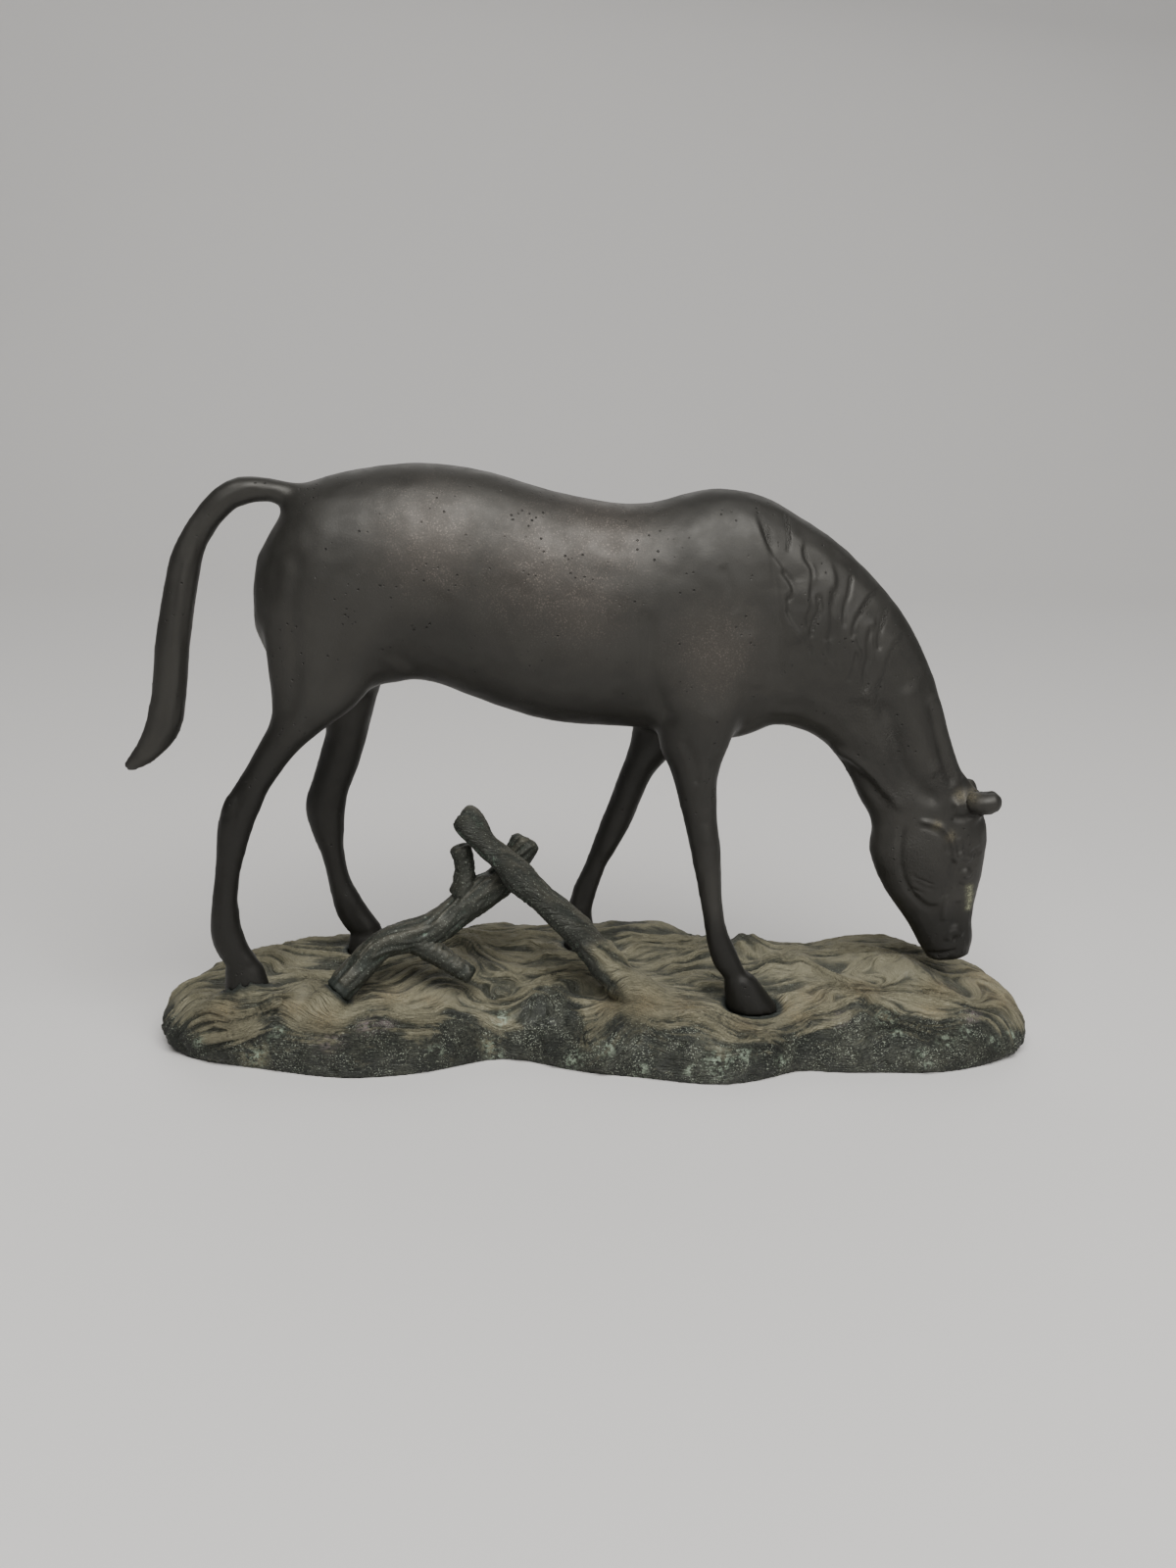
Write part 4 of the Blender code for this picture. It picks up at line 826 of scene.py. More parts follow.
def draped(flat, courses):
    """A length across the ground that is even along every course and changes smoothly between them."""
    knots = np.vstack([np.array(course, float) for course in courses]) / DRAPE_UNIT
    owner = np.repeat(np.arange(len(courses)), [len(course) for course in courses])
    count = len(knots)

    def kernel(rows):
        square = ((rows[:, None] - knots[None]) ** 2).sum(2) + 1e-9
        return 0.5 * square * np.log(square)

    plane = np.hstack([np.ones((count, 1)), knots])
    system = np.block([[kernel(knots) + DRAPE_EASE * np.eye(count), plane], [plane.T, np.zeros((3, 3))]])
    solver = np.linalg.inv(system)[:, :count]
    member = (owner[:, None] == np.arange(len(courses))).astype(float)
    bend = member.T @ solver[:count] @ member + DRAPE_HOLD * member.T @ member
    level = np.linalg.solve(bend, DRAPE_HOLD * member.T @ knots[:, 1])
    weight = solver @ (member @ level)
    rows = np.array_split(flat / (DRAPE_UNIT * MM), DRAPE_PARTS)
    return DRAPE_UNIT * MM * np.concatenate(
        [kernel(row) @ weight[:count] + weight[count] + row @ weight[count + 1 :] for row in rows]
    )


def near_patches(flat, patches):
    """How strongly flat places lie inside the patches, from 0 to 1."""
    inside = np.zeros(len(flat))
    for along, other, radius in patches:
        gap = np.hypot(flat[:, 0] - along * MM, flat[:, 1] - other * MM)
        inside = np.maximum(inside, np.exp(-((gap / (radius * MM)) ** 2)))
    return inside


def along_branch(places, course):
    """Local places about a branch: two offsets across it, the length along it and the distance from it."""
    line = through(course)
    best = np.full(len(places), 1e9)
    local = np.zeros((len(places), 3))
    walked = 0.0
    for start, end in zip(line, line[1:]):
        run = end - start
        length = np.linalg.norm(run)
        ahead = run / length
        over = np.cross(ahead, (0.0, 1.0, 0.0))
        over /= np.linalg.norm(over)
        side = np.cross(over, ahead)
        offset = places - start
        along = np.clip(offset @ ahead, 0, length)
        gap = np.linalg.norm(offset - along[:, None] * ahead, axis=1)
        nearer = gap < best
        best = np.where(nearer, gap, best)
        here = np.stack([offset @ side, offset @ over, walked + along], 1)
        local[nearer] = here[nearer]
        walked += length
    return local, best


def bark_of(local, finish):
    """Ridges of bark that run along a branch, from about -1 to 1."""
    width = finish.bark_width
    sway, sway_length = BARK_SWAY
    twist = local.copy()
    twist[:, 0] += sway * MM * np.sin(local[:, 2] / (sway_length * MM))
    coarse = 1 - 2.4 * np.abs(mottle(twist, (width, width, 9 * width), 1))
    fine = 1 - 2.4 * np.abs(mottle(twist, (width / 2.2, width / 2.2, 5 * width), 2))
    knots = mottle(local, 6 * MM, 3)
    coarse_share, fine_share, knot_share = BARK_SHARES
    return coarse_share * coarse + fine_share * fine + knot_share * knots


class Shades:
    """Small helper that lays out the nodes of one material."""

    def __init__(self, name, metallic):
        self.material = bpy.data.materials.new(name)
        self.material.use_nodes = True
        self.tree = self.material.node_tree
        self.shader = self.tree.nodes["Principled BSDF"]
        self.shader.inputs["Metallic"].default_value = metallic
        self.place = self.add("ShaderNodeTexCoord").outputs["Object"]

    def add(self, kind, **settings):
        """A node with the given settings."""
        node = self.tree.nodes.new(kind)
        for setting, value in settings.items():
            setattr(node, setting, value)
        return node

    def link(self, value, socket):
        """Feed a socket from another one, or set it."""
        if isinstance(value, bpy.types.NodeSocket):
            self.tree.links.new(value, socket)
        else:
            socket.default_value = value

    def noise(self, scale, detail=3.0, roughness=0.55, place=None):
        """Noise from 0 to 1, with the scale in lumps per metre."""
        node = self.add("ShaderNodeTexNoise")
        self.link(place or self.place, node.inputs["Vector"])
        node.inputs["Scale"].default_value = scale
        node.inputs["Detail"].default_value = detail
        node.inputs["Roughness"].default_value = roughness
        return node.outputs["Fac"]

    def cells(self, scale, randomness=1.0):
        """Distance to the nearest of scattered points."""
        node = self.add("ShaderNodeTexVoronoi")
        self.link(self.place, node.inputs["Vector"])
        node.inputs["Scale"].default_value = scale
        node.inputs["Randomness"].default_value = randomness
        return node.outputs["Distance"]

    def layer(self, name):
        """A value painted on the piece."""
        return self.add("ShaderNodeAttribute", attribute_name=name).outputs["Fac"]

    def math(self, operation, first, second=0.0, third=0.0):
        """Arithmetic on one to three values."""
        node = self.add("ShaderNodeMath", operation=operation)
        for value, socket in zip((first, second, third), node.inputs):
            self.link(value, socket)
        return node.outputs[0]

    def span(self, value, low, high, to_low=0.0, to_high=1.0):
        """Map a value's range to another one."""
        node = self.add("ShaderNodeMapRange")
        node.interpolation_type = "SMOOTHSTEP"
        for entry, socket in zip((value, low, high, to_low, to_high), node.inputs):
            self.link(entry, socket)
        return node.outputs[0]

    def mix(self, share, first, second):
        """Blend two colours."""
        node = self.add("ShaderNodeMix", data_type="RGBA")
        self.link(share, node.inputs["Factor"])
        for value, socket in ((first, node.inputs["A"]), (second, node.inputs["B"])):
            self.link(value if isinstance(value, bpy.types.NodeSocket) else (*value, 1.0), socket)
        return node.outputs["Result"]

    def bump(self, height, depth, below=None):
        """Raise the surface by a height value times a depth in metres."""
        node = self.add("ShaderNodeBump")
        node.inputs["Strength"].default_value = 1.0
        node.inputs["Distance"].default_value = depth
        self.link(height, node.inputs["Height"])
        if below is not None:
            self.link(below, node.inputs["Normal"])
        return node.outputs["Normal"]

    def finish(self, colour, roughness, normal):
        """Feed the shader."""
        self.link(colour, self.shader.inputs["Base Color"])
        self.link(roughness, self.shader.inputs["Roughness"])
        self.link(normal, self.shader.inputs["Normal"])
        return self.material


def horse_patina(settings):
    """Satin brown bronze with worn speckles, a few pits and stray verdigris; painted shade darkens the legs
    and muzzle, and worn patches that face the light carry a painted highlight.
    """
    shades = Shades("dark bronze patina", 0.55)
    cloud = shades.noise(28, 3)
    speckle = shades.noise(2100, 3, 0.7)
    dots = shades.math("MULTIPLY", shades.span(shades.cells(1300), 0.45, 0.15), shades.span(
        shades.noise(260, 2), 0.38, 0.62
    ))
    worn = shades.math("MULTIPLY", shades.layer("rub"), shades.math(
        "MAXIMUM", dots, shades.span(speckle, 0.46, 0.74, 0.0, 0.5)
    ))
    worn = shades.math("ADD", worn, shades.math("MULTIPLY", shades.span(speckle, 0.62, 0.76), 0.2))
    colour = shades.mix(
        shades.span(cloud, 0.35, 0.70), settings.bronze, [0.72 * part for part in settings.bronze]
    )
    # Painted shade: the legs and the muzzle are darkened towards the bottom.
    colour = shades.mix(shades.math("MULTIPLY", shades.layer("deep"), 0.8), colour, settings.deep)
    # Painted highlight and wear: the worn patches that face the light are lightened, then flecked with worn
    # speckles.
    colour = shades.mix(shades.math("MULTIPLY", shades.layer("rub"), 0.25), colour, settings.worn_and_sheen_bronze)
    colour = shades.mix(shades.math("MINIMUM", worn, 0.8), colour, settings.worn_and_sheen_bronze)
    holes = shades.math("MULTIPLY", shades.span(shades.cells(420), 0.20, 0.08), shades.span(
        shades.noise(90, 2), 0.50, 0.62
    ))
    colour = shades.mix(holes, colour, settings.deep)
    colour = shades.mix(
        shades.math("MULTIPLY", shades.layer("dust"), shades.span(speckle, 0.36, 0.58)), colour,
        settings.dust
    )
    colour = shades.mix(
        shades.math("MULTIPLY", shades.layer("verdigris"), shades.span(speckle, 0.40, 0.56)), colour,
        settings.verdigris
    )
    roughness = shades.span(shades.noise(140, 4), 0.3, 0.7, 0.44, 0.56)
    roughness = shades.math("ADD", roughness, shades.math("MULTIPLY", shades.layer("dust"), 0.2))
    grain = shades.bump(shades.noise(1500, 2), 0.03 * MM)
    grit = shades.math("MULTIPLY", shades.layer("grit"), shades.noise(1100, 3, 0.7))
    normal = shades.bump(grit, 0.60 * MM, grain)
    pits = shades.span(shades.cells(160), 0.0, 0.07)
    normal = shades.bump(pits, 0.12 * MM, normal)
    normal = shades.bump(shades.math("SUBTRACT", 1.0, holes), 0.20 * MM, normal)
    return shades.finish(colour, roughness, normal)


def branch_colour(shades, settings):
    """Olive bark with dark grooves and green in them."""
    bark = shades.layer("crest")
    colour = shades.mix(shades.span(bark, 0.25, 0.75), settings.groove, settings.bark)
    green = shades.math("ADD", shades.layer("under"), shades.span(shades.noise(150, 3), 0.52, 0.70))
    green = shades.math("MULTIPLY", green, shades.span(shades.noise(900, 4, 0.7), 0.48, 0.66))
    green = shades.math("MULTIPLY", green, shades.span(bark, 0.75, 0.35))
    colour = shades.mix(shades.math("MINIMUM", green, 0.8), colour, settings.verdigris)
    light = shades.math("MULTIPLY", shades.span(bark, 0.55, 1.0), shades.layer("top"))
    colour = shades.mix(light, colour, settings.worn)
    speck = shades.math("MULTIPLY", shades.span(shades.noise(1900, 2, 0.6), 0.62, 0.70), 0.7)
    colour = shades.mix(speck, colour, settings.speck)
    return shades.mix(shades.math("MULTIPLY", shades.layer("seam"), 0.85), colour, settings.seam)


def ground_patina(settings, branch_settings):
    """Tan strands over olive, dark speckled sides, verdigris, and the leaning branch's bark, with painted
    shadow patches and painted shade around the hooves.
    """
    shades = Shades("tan green patina", 0.2)
    crest, top = shades.layer("crest"), shades.layer("top")
    parts = shades.add("ShaderNodeSeparateXYZ")
    shades.link(shades.place, parts.inputs[0])
    streak = shades.add("ShaderNodeCombineXYZ")
    shades.link(shades.math("MULTIPLY", parts.outputs["X"], 60.0), streak.inputs["X"])
    shades.link(shades.math("MULTIPLY", shades.layer("flow"), 120.0), streak.inputs["Y"])
    strand = shades.noise(1.0, 3, 0.75, streak.outputs[0])
    ridge = shades.math("SUBTRACT", 1.0, shades.math(
        "MULTIPLY", shades.math("ABSOLUTE", shades.math("SUBTRACT", strand, 0.5)), 5.0
    ))
    fine = shades.noise(700, 3)
    height = shades.math("ADD", crest, shades.math(
        "MULTIPLY_ADD", ridge, 0.50, shades.math("MULTIPLY_ADD", fine, 0.30, -0.15)
    ))
    lit = shades.span(height, 0.36, 1.26)
    tan = shades.mix(shades.layer("warm"), settings.tan, settings.warm)
    low = shades.mix(shades.layer("warm"), settings.olive, [0.30 * part for part in settings.warm])
    sand = shades.span(shades.noise(1900, 3, 0.7), 0.35, 0.65)
    high = shades.mix(lit, low, shades.mix(sand, [0.78 * part for part in settings.tan], tan))
    dull = shades.mix(
        shades.span(height, 0.30, 1.10), settings.olive, [0.72 * part for part in settings.tan]
    )
    high = shades.mix(shades.math("MULTIPLY", shades.layer("dull"), 0.85), high, dull)
    side = shades.mix(shades.span(shades.noise(120, 4), 0.36, 0.66), settings.dark, settings.grey)
    side = shades.mix(
        shades.span(shades.noise(900, 3, 0.65), 0.56, 0.40, 0.0, 0.7), side,
        [0.45 * part for part in settings.dark]
    )
    side = shades.mix(
        shades.math("MULTIPLY", shades.layer("rose"), shades.span(fine, 0.35, 0.6)), side, settings.rose
    )
    side = shades.mix(
        shades.math("MULTIPLY", shades.layer("pale"), shades.span(shades.noise(500, 3), 0.40, 0.62)), side,
        settings.pale
    )
    speck = shades.span(shades.noise(1900, 2, 0.6), 0.57, 0.66)
    side = shades.mix(
        shades.math("MULTIPLY", speck, shades.span(shades.noise(150, 3), 0.38, 0.60, 0.12, 0.9)), side,
        settings.speck
    )
    ragged = shades.math("MULTIPLY_ADD", crest, 0.8, shades.math(
        "MULTIPLY_ADD", shades.noise(420, 4), 0.8, -0.85
    ))
    colour = shades.mix(shades.span(shades.math("ADD", top, ragged), 0.12, 0.92), side, high)
    # Painted shadow: the shadow patches darken the top, most in its low places.
    shadow = shades.math("MULTIPLY", shades.layer("shadow"), shades.span(height, 1.0, 0.4, 0.25, 0.95))
    colour = shades.mix(shadow, colour, settings.dark)
    # Painted shade and seam: the ground darkens close to the hooves and to the forked branch's foot.
    colour = shades.mix(shades.layer("seam"), colour, settings.seam)
    stain = shades.math("MULTIPLY", shades.layer("verdigris"), shades.span(
        shades.noise(600, 4, 0.65), 0.46, 0.60
    ))
    colour = shades.mix(shades.math("MINIMUM", stain, 0.8), colour, settings.verdigris)
    colour = shades.mix(shades.layer("branch"), colour, branch_colour(shades, branch_settings))
    roughness = shades.span(shades.noise(260, 3), 0.3, 0.7, 0.58, 0.78)
    grain = shades.bump(shades.noise(1200, 3, 0.7), 0.16 * MM)
    normal = shades.bump(shades.noise(420, 4, 0.6), 0.42 * MM, grain)
    normal = shades.bump(ridge, 0.65 * MM, normal)
    return shades.finish(colour, roughness, normal)


def bark_patina(settings):
    """Green-grey patina of a branch."""
    shades = Shades("green grey patina", 0.4)
    roughness = shades.span(shades.noise(260, 3), 0.3, 0.7, 0.45, 0.68)
    grain = shades.bump(shades.noise(1200, 3, 0.7), 0.14 * MM)
    normal = shades.bump(shades.noise(420, 4, 0.6), 0.25 * MM, grain)
    return shades.finish(branch_colour(shades, settings), roughness, normal)


def cover(piece, material, node):
    """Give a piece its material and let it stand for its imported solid."""
    piece.data.materials.append(material)
    choose(piece)
    bpy.ops.object.shade_smooth()
    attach(piece, "root")
    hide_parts(node)


def soften_horse(piece):
    """Melt the body's facets strongly and those of the legs and neck a little, and leave the head."""
    places = places_of(piece)[0]
    along, up = places[:, 0], places[:, 2]
    melt(piece, rising(up, BODY_UNDER) * rising(along, RUMP_END) * rising(along, NECK_START), BODY_ROUNDS)
    melt(piece, rising(up, PASTERN_TOP) * rising(along, HEAD_START), LEG_ROUNDS)


def refine_mane_and_head(piece):
    """Give the near side of the mane and the whole head a finer mesh."""
    places, normals = places_of(piece)
    along, up = places[:, 0], places[:, 2]
    mane = (along > MANE_PLACE * MM) & (normals[:, 1] < 0.1) & (up > MANE_HEIGHT * MM)
    refine(piece, mane | (along > HEAD_PLACE * MM) & (up < HEAD_HEIGHT * MM))


def carve_horse(places, near, far, pitting):
    """How far the carving raises the horse's surface, and the mane's part of it."""
    flat, along = places[:, [0, 2]], places[:, 0]
    both = near + far
    mane = carved(flat, MANE_LOCKS) + carved(flat, MANE_GROOVES)
    rise = NEAR_MANE * near * mane + FAR_MANE * far * carved(flat, MANE_LOCKS)
    for forms, strength in FORM_STRENGTHS:
        rise += strength * both * carved(flat, forms)
    rise += EAR_SWELL * MM * rising(along, EAR_START) * rising(places[:, 2], EAR_UNDER)
    rise += near * carved(flat, LEG_FORMS)
    rise += both * carved(flat, TAIL_GROOVES, TAIL_TAPER)
    middle_along, middle_up = EYE_MIDDLE
    eye = np.hypot(along - middle_along * MM, EYE_LENGTH * (flat[:, 1] - middle_up * MM))
    ball = np.sqrt(np.clip(1 - (eye / (EYE_RADIUS * MM)) ** 2, 0, 1))
    rise += both * (EYE_SWELL * MM) * ball * (along > EYE_PLACE * MM)
    rise += pitting * mottle(places, 5 * MM, 4)
    return rise, mane


class FIGURINE_OT_horse(bpy.types.Operator):
    """Finish the horse's casting: soft surface, mane, head, muscles and patina"""

    bl_idname = "figurine.finish_horse"
    bl_label = "Finish the horse"

    def execute(self, context):
        settings = context.scene.horse_finish
        piece = copy_casting("horse_cast", "horse")
        recast(piece, settings.grain, HORSE_ROUNDS)
        soften_horse(piece)
        refine_mane_and_head(piece)
        places, normals = places_of(piece)
        flat = places[:, [0, 2]]
        near = smooth_step(*SIDE_TURN, -normals[:, 1])
        far = smooth_step(*SIDE_TURN, normals[:, 1])
        rise, mane = carve_horse(places, near, far, settings.pitting)
        places += normals * (rise * settings.carving)[:, None]
        put_places(piece, places)
        hollows = near * smooth_step(-0.05, 0.35, -mane / MM)
        paint(piece, "grit", np.maximum(hollows, 0.8 * near_patches(flat, HORSE_GRIT)))
        # The worn patches are lightened only where they face the light, as a painted highlight as well as
        # wear.
        facing = smooth_step(*LIGHT_TURN, normals[:, 2] - 0.6 * normals[:, 1])
        paint(piece, "rub", near_patches(flat, HORSE_WEAR_AND_SHEEN) * facing)
        # Painted shade for the legs and the muzzle, darker towards the bottom.
        from_middle = np.abs(places[:, 0] + LEG_SHADE_MIDDLE * MM)
        legs = rising(places[:, 2], LEG_SHADE) * rising(from_middle, LEG_SHADE_ENDS)
        paint(piece, "deep", np.maximum(legs, rising(places[:, 2], MUZZLE_SHADE)))
        paint(piece, "verdigris", near * near_patches(flat, HORSE_VERDIGRIS))
        paint(piece, "dust", near * near_patches(flat, HORSE_DUST))
        cover(piece, horse_patina(settings), "horse")
        return {"FINISHED"}


def soften_feet(piece, touch):
    """Melt the branches' feet and the hooves' sockets into the ground, and tell where the feet are."""
    places = places_of(piece)[0]
    feet = np.zeros(len(places))
    for foot in BRANCH_FEET:
        reach = np.linalg.norm(places - np.array(foot) * MM, axis=1)
        feet = np.maximum(feet, rising(reach, FOOT_REACH))
    feet *= rising(places[:, 2], FOOT_BASE) * rising(touch, FOOT_GAP)
    melt(piece, feet, FOOT_ROUNDS)
    melt(piece, rising(touch, SOCKET_GAP) * rising(places[:, 2], SOCKET_BASE), SOCKET_ROUNDS)
    return feet


def leaning_branch(places, gap):
    """Where the ground's casting is the leaning branch, from 0 to 1."""
    up = places[:, 2]
    bared = places[:, 0] + BARED_SLOPE * (up - BARED_HEIGHT * MM)
    branch = rising(gap, BRANCH_REACH) * rising(up, BRANCH_BASE) * rising(bared, BARED_END)
    return np.maximum(branch, rising(up, BRANCH_ONLY))


def top_of_ground(places, normals, flat):
    """How far the tan patina and the strands reach, each from 0 to 1."""
    beyond = flat[:, 1] - np.interp(places[:, 0], *(np.array(TOP_EDGE, float) * MM).T)
    ragged = beyond.copy()
    for rise, size, seed in EDGE_WAVES:
        ragged += rise * MM * mottle(places, size * MM, seed)
    turned = normals[:, 1] + 0.10 * mottle(places, 6 * MM, 17)
    behind = smooth_step(*BACK_TURN, turned) * (places[:, 1] > 0)
    tan = rising(ragged, TAN_EDGE) * rising(places[:, 2], TAN_BASE)
    return tan * (1 - behind), rising(beyond, STRAND_EDGE) * (1 - behind)


def flow_of(places, flat):
    """A length across the ground's top that is even along every strand."""
    flow = draped(flat, [*GROUND_STRANDS, *(fold.course for fold in GROUND_FOLDS.values())])
    flow += FLOW_SWAY * MM * mottle(places, np.array(FLOW_SWAY_SIZES) * MM, 14)
    return np.where(flow > 0, BACK_FLOW * flow, FRONT_FLOW * flow)


def grass(places, flat, flow, spacing):
    """Broad waves and fine strands that follow the flow, each from about -1 to 1."""
    lines = np.stack([places[:, 0], flow, np.zeros(len(places))], 1)
    broad = 1 - 2.6 * np.abs(mottle(lines, (6 * spacing, 2.1 * spacing, 1), 5))
    strands = np.zeros(len(places))
    for share, run, thin, seed in STRAND_LAYERS:
        strands += share * (1 - 2.6 * np.abs(mottle(lines, (run * spacing, spacing / thin, 1), seed)))
    traced = np.zeros(len(places))
    for course in GROUND_STRANDS:
        traced = np.maximum(traced, folded(flat, dict(strand=Fold(1.0, 0.9, 1.2, course))) / MM)
    return broad, strands + 0.8 * traced


class FIGURINE_OT_ground(bpy.types.Operator):
    """Finish the ground's casting: folds, grass strands, rough sides, the leaning branch and patina"""

    bl_idname = "figurine.finish_ground"
    bl_label = "Finish the ground"

    def execute(self, context):
        settings = context.scene.ground_finish
        branch_settings = context.scene.branch_finish
        piece = copy_casting("ground_cast", "ground_base")
        recast(piece, settings.grain, GROUND_ROUNDS)
        touch = gap_to(places_of(piece)[0], ("horse", "forked_branch"))
        feet = soften_feet(piece, touch)
        places, normals = places_of(piece)
        flat = np.stack([places[:, 0], places[:, 1] + places[:, 2]], 1)
        local, gap = along_branch(places, LEANING_COURSE)
        branch = leaning_branch(places, gap)
        top, upper = top_of_ground(places, normals, flat)
        flow = flow_of(places, flat)
        folds = folded(flat, GROUND_FOLDS) + folded(flat, GROUND_HOLLOWS)
        broad, strands = grass(places, flat, flow, settings.strand_spacing)
        order = np.argsort(np.argsort(strands + CREST_BROAD * broad + folds / (CREST_FOLD * MM)))
        crest = order / len(order)
        strand_share = SIDE_STRANDS + (1 - SIDE_STRANDS) * upper
        ground_rise = folds + settings.strand_rise * (strands + STRAND_BROAD * broad) * strand_share
        lumps = sum(rise * mottle(places, size * MM, seed) for rise, size, seed in SIDE_LUMPS)
        grain_rise, grain_size, grain_seed = TOP_GRAIN
        grain = grain_rise * MM * mottle(places, grain_size * MM, grain_seed)
        ground_rise += lumps * MM * (1 - upper) + grain * upper
        ground_rise *= (1 - FOOT_CALM * feet) * rising(touch, TOUCH_GAP)
        bark = bark_of(local, branch_settings)
        rise = ground_rise * rising(places[:, 2], FLAT_EDGE) * (1 - branch)
        rise += bark * branch_settings.bark_rise * branch
        rise *= normals[:, 2] > -0.9
        places += normals * rise[:, None]
        places[:, 2] = np.maximum(places[:, 2], 0.0)
        put_places(piece, places)
        ground_crest = crest + (FOOT_CREST - crest) * feet
        paint(piece, "crest", np.where(branch > 0.5, 0.5 + 0.5 * bark, ground_crest))
        paint(piece, "flow", 0.5 + flow / (FLOW_RANGE * MM))
        paint(piece, "top", top * (1 - branch) + branch * smooth_step(*BARK_TOP, normals[:, 2]))
        below = -normals[:, 2] - BARK_LEAN * normals[:, 0]
        paint(piece, "under", branch * smooth_step(*BARK_UNDER, below))
        paint(piece, "branch", branch)
        for name, patches in GROUND_STAINS_AND_SHADOWS.items():
            paint(piece, name, near_patches(flat, patches))
        # Painted shade around the hooves, and the seam at the forked branch's foot.
        paint(piece, "seam", rising(touch, SEAM_GAP))
        cover(piece, ground_patina(settings, branch_settings), "ground_base")
        return {"FINISHED"}


class FIGURINE_OT_branch(bpy.types.Operator):
    """Finish the forked branch: bark ridges, worn ends and patina"""

    bl_idname = "figurine.finish_branch"
    bl_label = "Finish the forked branch"

    def execute(self, context):
        settings = context.scene.branch_finish
        piece = copy_casting("forked_branch_cast", "forked_branch")
        recast(piece, settings.grain, BRANCH_ROUNDS)
        places, normals = places_of(piece)
        bark = bark_of(along_branch(places, FORKED_COURSE)[0], settings)
        ring = rising(gap_to(places, ("ground_base",)), RING_GAP) * (places[:, 0] < RING_END * MM)
        places += normals * (bark * settings.bark_rise * (1 - RING_CALM * ring))[:, None]
        put_places(piece, places)
        paint(piece, "crest", 0.5 + 0.5 * bark)
        paint(piece, "top", smooth_step(*BARK_TOP, normals[:, 2]))
        paint(piece, "under", smooth_step(*BARK_UNDER, -normals[:, 2] + BARK_LEAN * normals[:, 0]))
        paint(piece, "seam", ring)
        cover(piece, bark_patina(settings), "forked_branch")
        return {"FINISHED"}


def add_light(name, lamp, power):
    """A soft rectangular light that points at a target."""
    light = bpy.data.lights.new(name, "AREA")
    light.shape = "RECTANGLE"
    light.size, light.size_y = lamp.size
    light.energy = power
    light.color = lamp.colour
    holder = bpy.data.objects.new(name, light)
    holder.location = lamp.place
    holder.rotation_euler = (Vector(lamp.target) - Vector(lamp.place)).to_track_quat("-Z", "Y").to_euler()
    holder.visible_camera = False
    bpy.context.scene.collection.objects.link(holder)


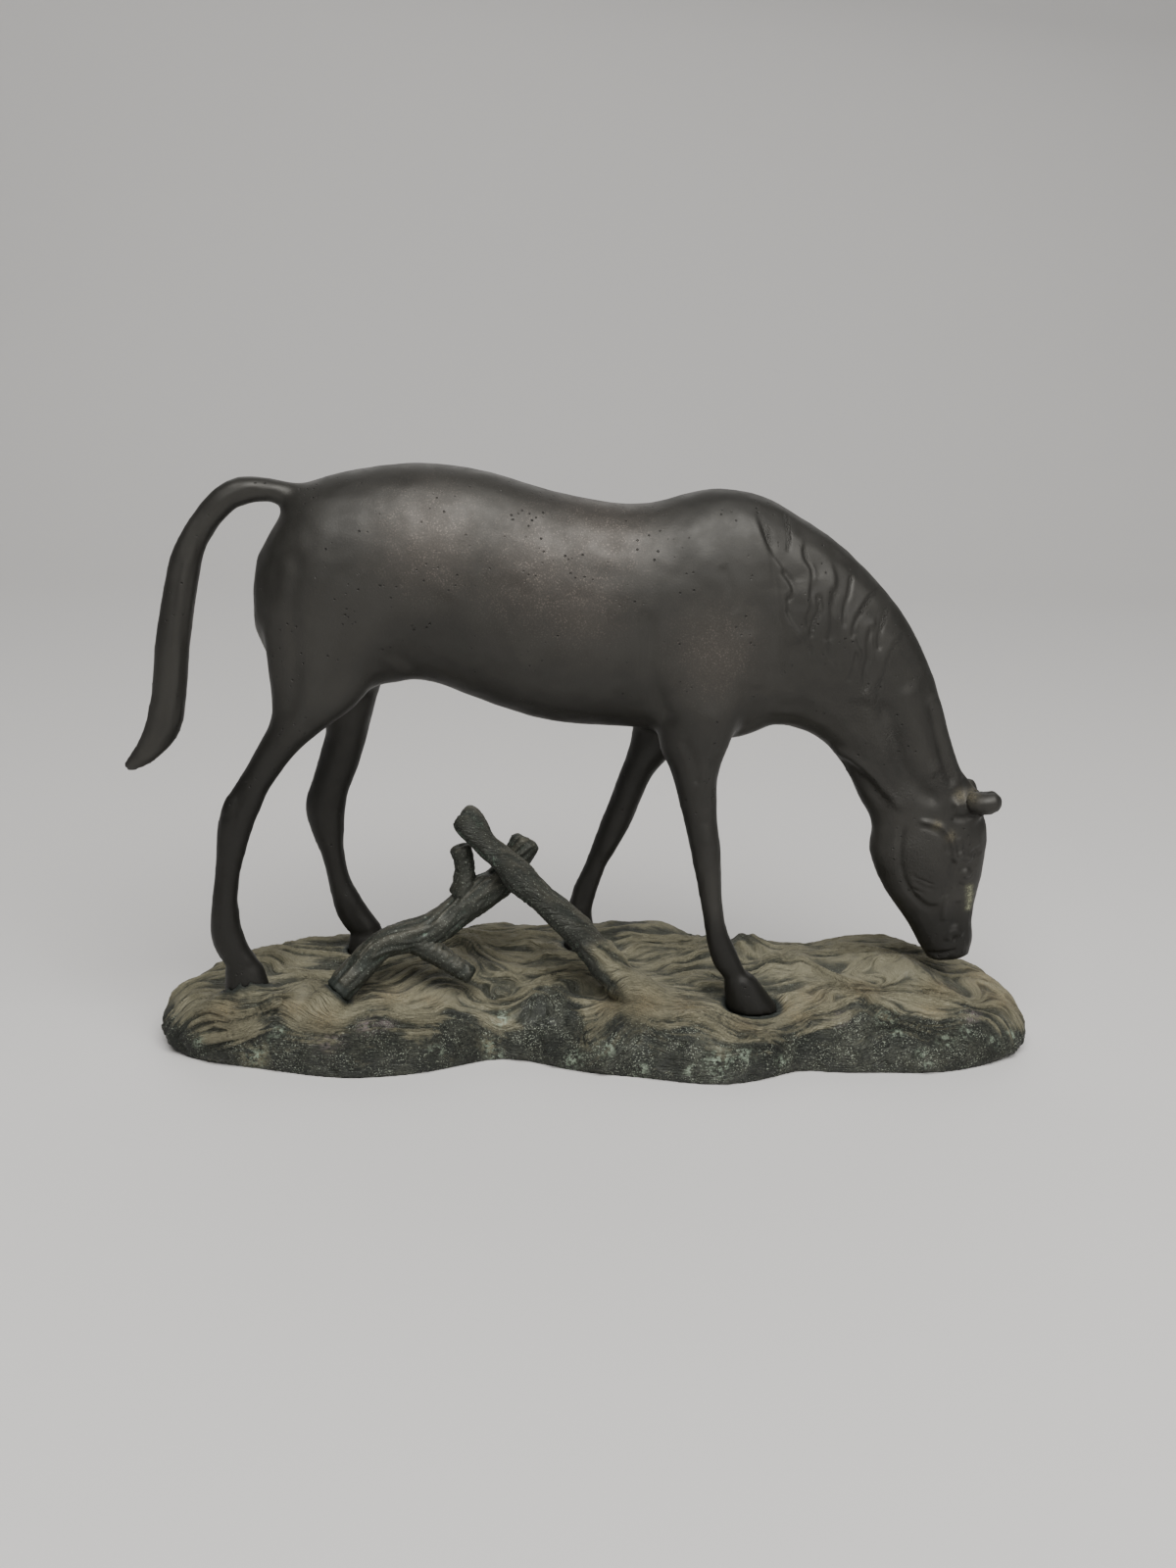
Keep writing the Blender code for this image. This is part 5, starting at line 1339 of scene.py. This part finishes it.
class FIGURINE_OT_stage(bpy.types.Operator):
    """Set the floor, the light and the camera"""

    bl_idname = "figurine.set_stage"
    bl_label = "Set the stage"

    def execute(self, context):
        settings = context.scene.studio
        bpy.ops.object.select_all(action="DESELECT")
        bpy.ops.mesh.primitive_plane_add(size=1.0, location=(0, 0, 0))
        floor = context.active_object
        floor.name = "studio_floor"
        bpy.ops.object.mode_set(mode="EDIT")
        bpy.ops.transform.resize(value=(*FLOOR_SIZE, 1.0))
        bpy.ops.transform.translate(value=(0, FLOOR_SHIFT, -FLOOR_DROP))
        bpy.ops.mesh.select_mode(type="EDGE")
        bpy.ops.mesh.select_all(action="DESELECT")
        bpy.ops.object.mode_set(mode="OBJECT")
        for rim in floor.data.edges:
            ends = [floor.data.vertices[corner].co.y for corner in rim.vertices]
            rim.select = min(ends) > 1.0
        bpy.ops.object.mode_set(mode="EDIT")
        bpy.ops.mesh.extrude_region_move(TRANSFORM_OT_translate={"value": (0, 0, WALL_HEIGHT)})
        bpy.ops.object.mode_set(mode="OBJECT")
        bend = floor.modifiers.new("round corner", "BEVEL")
        bend.width = CORNER_RADIUS
        bend.segments = CORNER_STEPS
        bpy.ops.object.modifier_apply(modifier="round corner")
        bpy.ops.object.shade_smooth()
        shades = Shades("studio floor", 0.0)
        tone = shades.mix(shades.noise(3, 2), settings.floor, [0.97 * part for part in settings.floor])
        floor.data.materials.append(shades.finish(tone, 0.6, shades.bump(shades.noise(200, 2), 0.02 * MM)))

        for name, lamp in LAMPS.items():
            add_light(name, lamp, getattr(settings, name))
        world = bpy.data.worlds.new("studio")
        world.use_nodes = True
        world.node_tree.nodes["Background"].inputs["Color"].default_value = SKY_COLOUR
        world.node_tree.nodes["Background"].inputs["Strength"].default_value = settings.sky
        context.scene.world = world

        view = bpy.data.cameras.new("product view")
        view.lens = CAMERA_LENS
        camera = bpy.data.objects.new("product view", view)
        turn = Matrix.Rotation(math.radians(-CAMERA_TURN), 4, "Z")
        pitch = Matrix.Rotation(math.radians(90 - CAMERA_PITCH), 4, "X")
        roll = Matrix.Rotation(math.radians(CAMERA_ROLL), 4, "Z")
        camera.matrix_world = Matrix.Translation(CAMERA_PLACE) @ turn @ pitch @ roll
        context.scene.collection.objects.link(camera)
        context.scene.camera = camera
        return {"FINISHED"}


class FIGURINE_PT_panel(bpy.types.Panel):
    """Figurine tools in the sidebar"""

    bl_label = "Grazing horse"
    bl_idname = "FIGURINE_PT_panel"
    bl_space_type = "VIEW_3D"
    bl_region_type = "UI"
    bl_category = "Figurine"

    def draw(self, context):
        for operator in (FIGURINE_OT_horse, FIGURINE_OT_ground, FIGURINE_OT_branch, FIGURINE_OT_stage):
            self.layout.operator(operator.bl_idname)
        for name in ("horse_finish", "ground_finish", "branch_finish", "studio"):
            group = getattr(context.scene, name)
            box = self.layout.box()
            for setting in group.__annotations__:
                box.prop(group, setting)


CLASSES = (
    HorseFinish,
    GroundFinish,
    BranchFinish,
    StudioSettings,
    FIGURINE_OT_horse,
    FIGURINE_OT_ground,
    FIGURINE_OT_branch,
    FIGURINE_OT_stage,
    FIGURINE_PT_panel,
)


def register():
    """Make the settings, operators and panel known."""
    for entry in CLASSES:
        bpy.utils.register_class(entry)
    bpy.types.Scene.horse_finish = PointerProperty(type=HorseFinish)
    bpy.types.Scene.ground_finish = PointerProperty(type=GroundFinish)
    bpy.types.Scene.branch_finish = PointerProperty(type=BranchFinish)
    bpy.types.Scene.studio = PointerProperty(type=StudioSettings)


def unregister():
    """Take them away again."""
    for name in ("horse_finish", "ground_finish", "branch_finish", "studio"):
        delattr(bpy.types.Scene, name)
    for entry in reversed(CLASSES):
        bpy.utils.unregister_class(entry)


def main():
    """Finish every casting and set the stage."""
    register()
    bpy.ops.figurine.finish_horse()
    bpy.ops.figurine.finish_ground()
    bpy.ops.figurine.finish_branch()
    bpy.ops.figurine.set_stage()


if __name__ == "__main__":
    main()
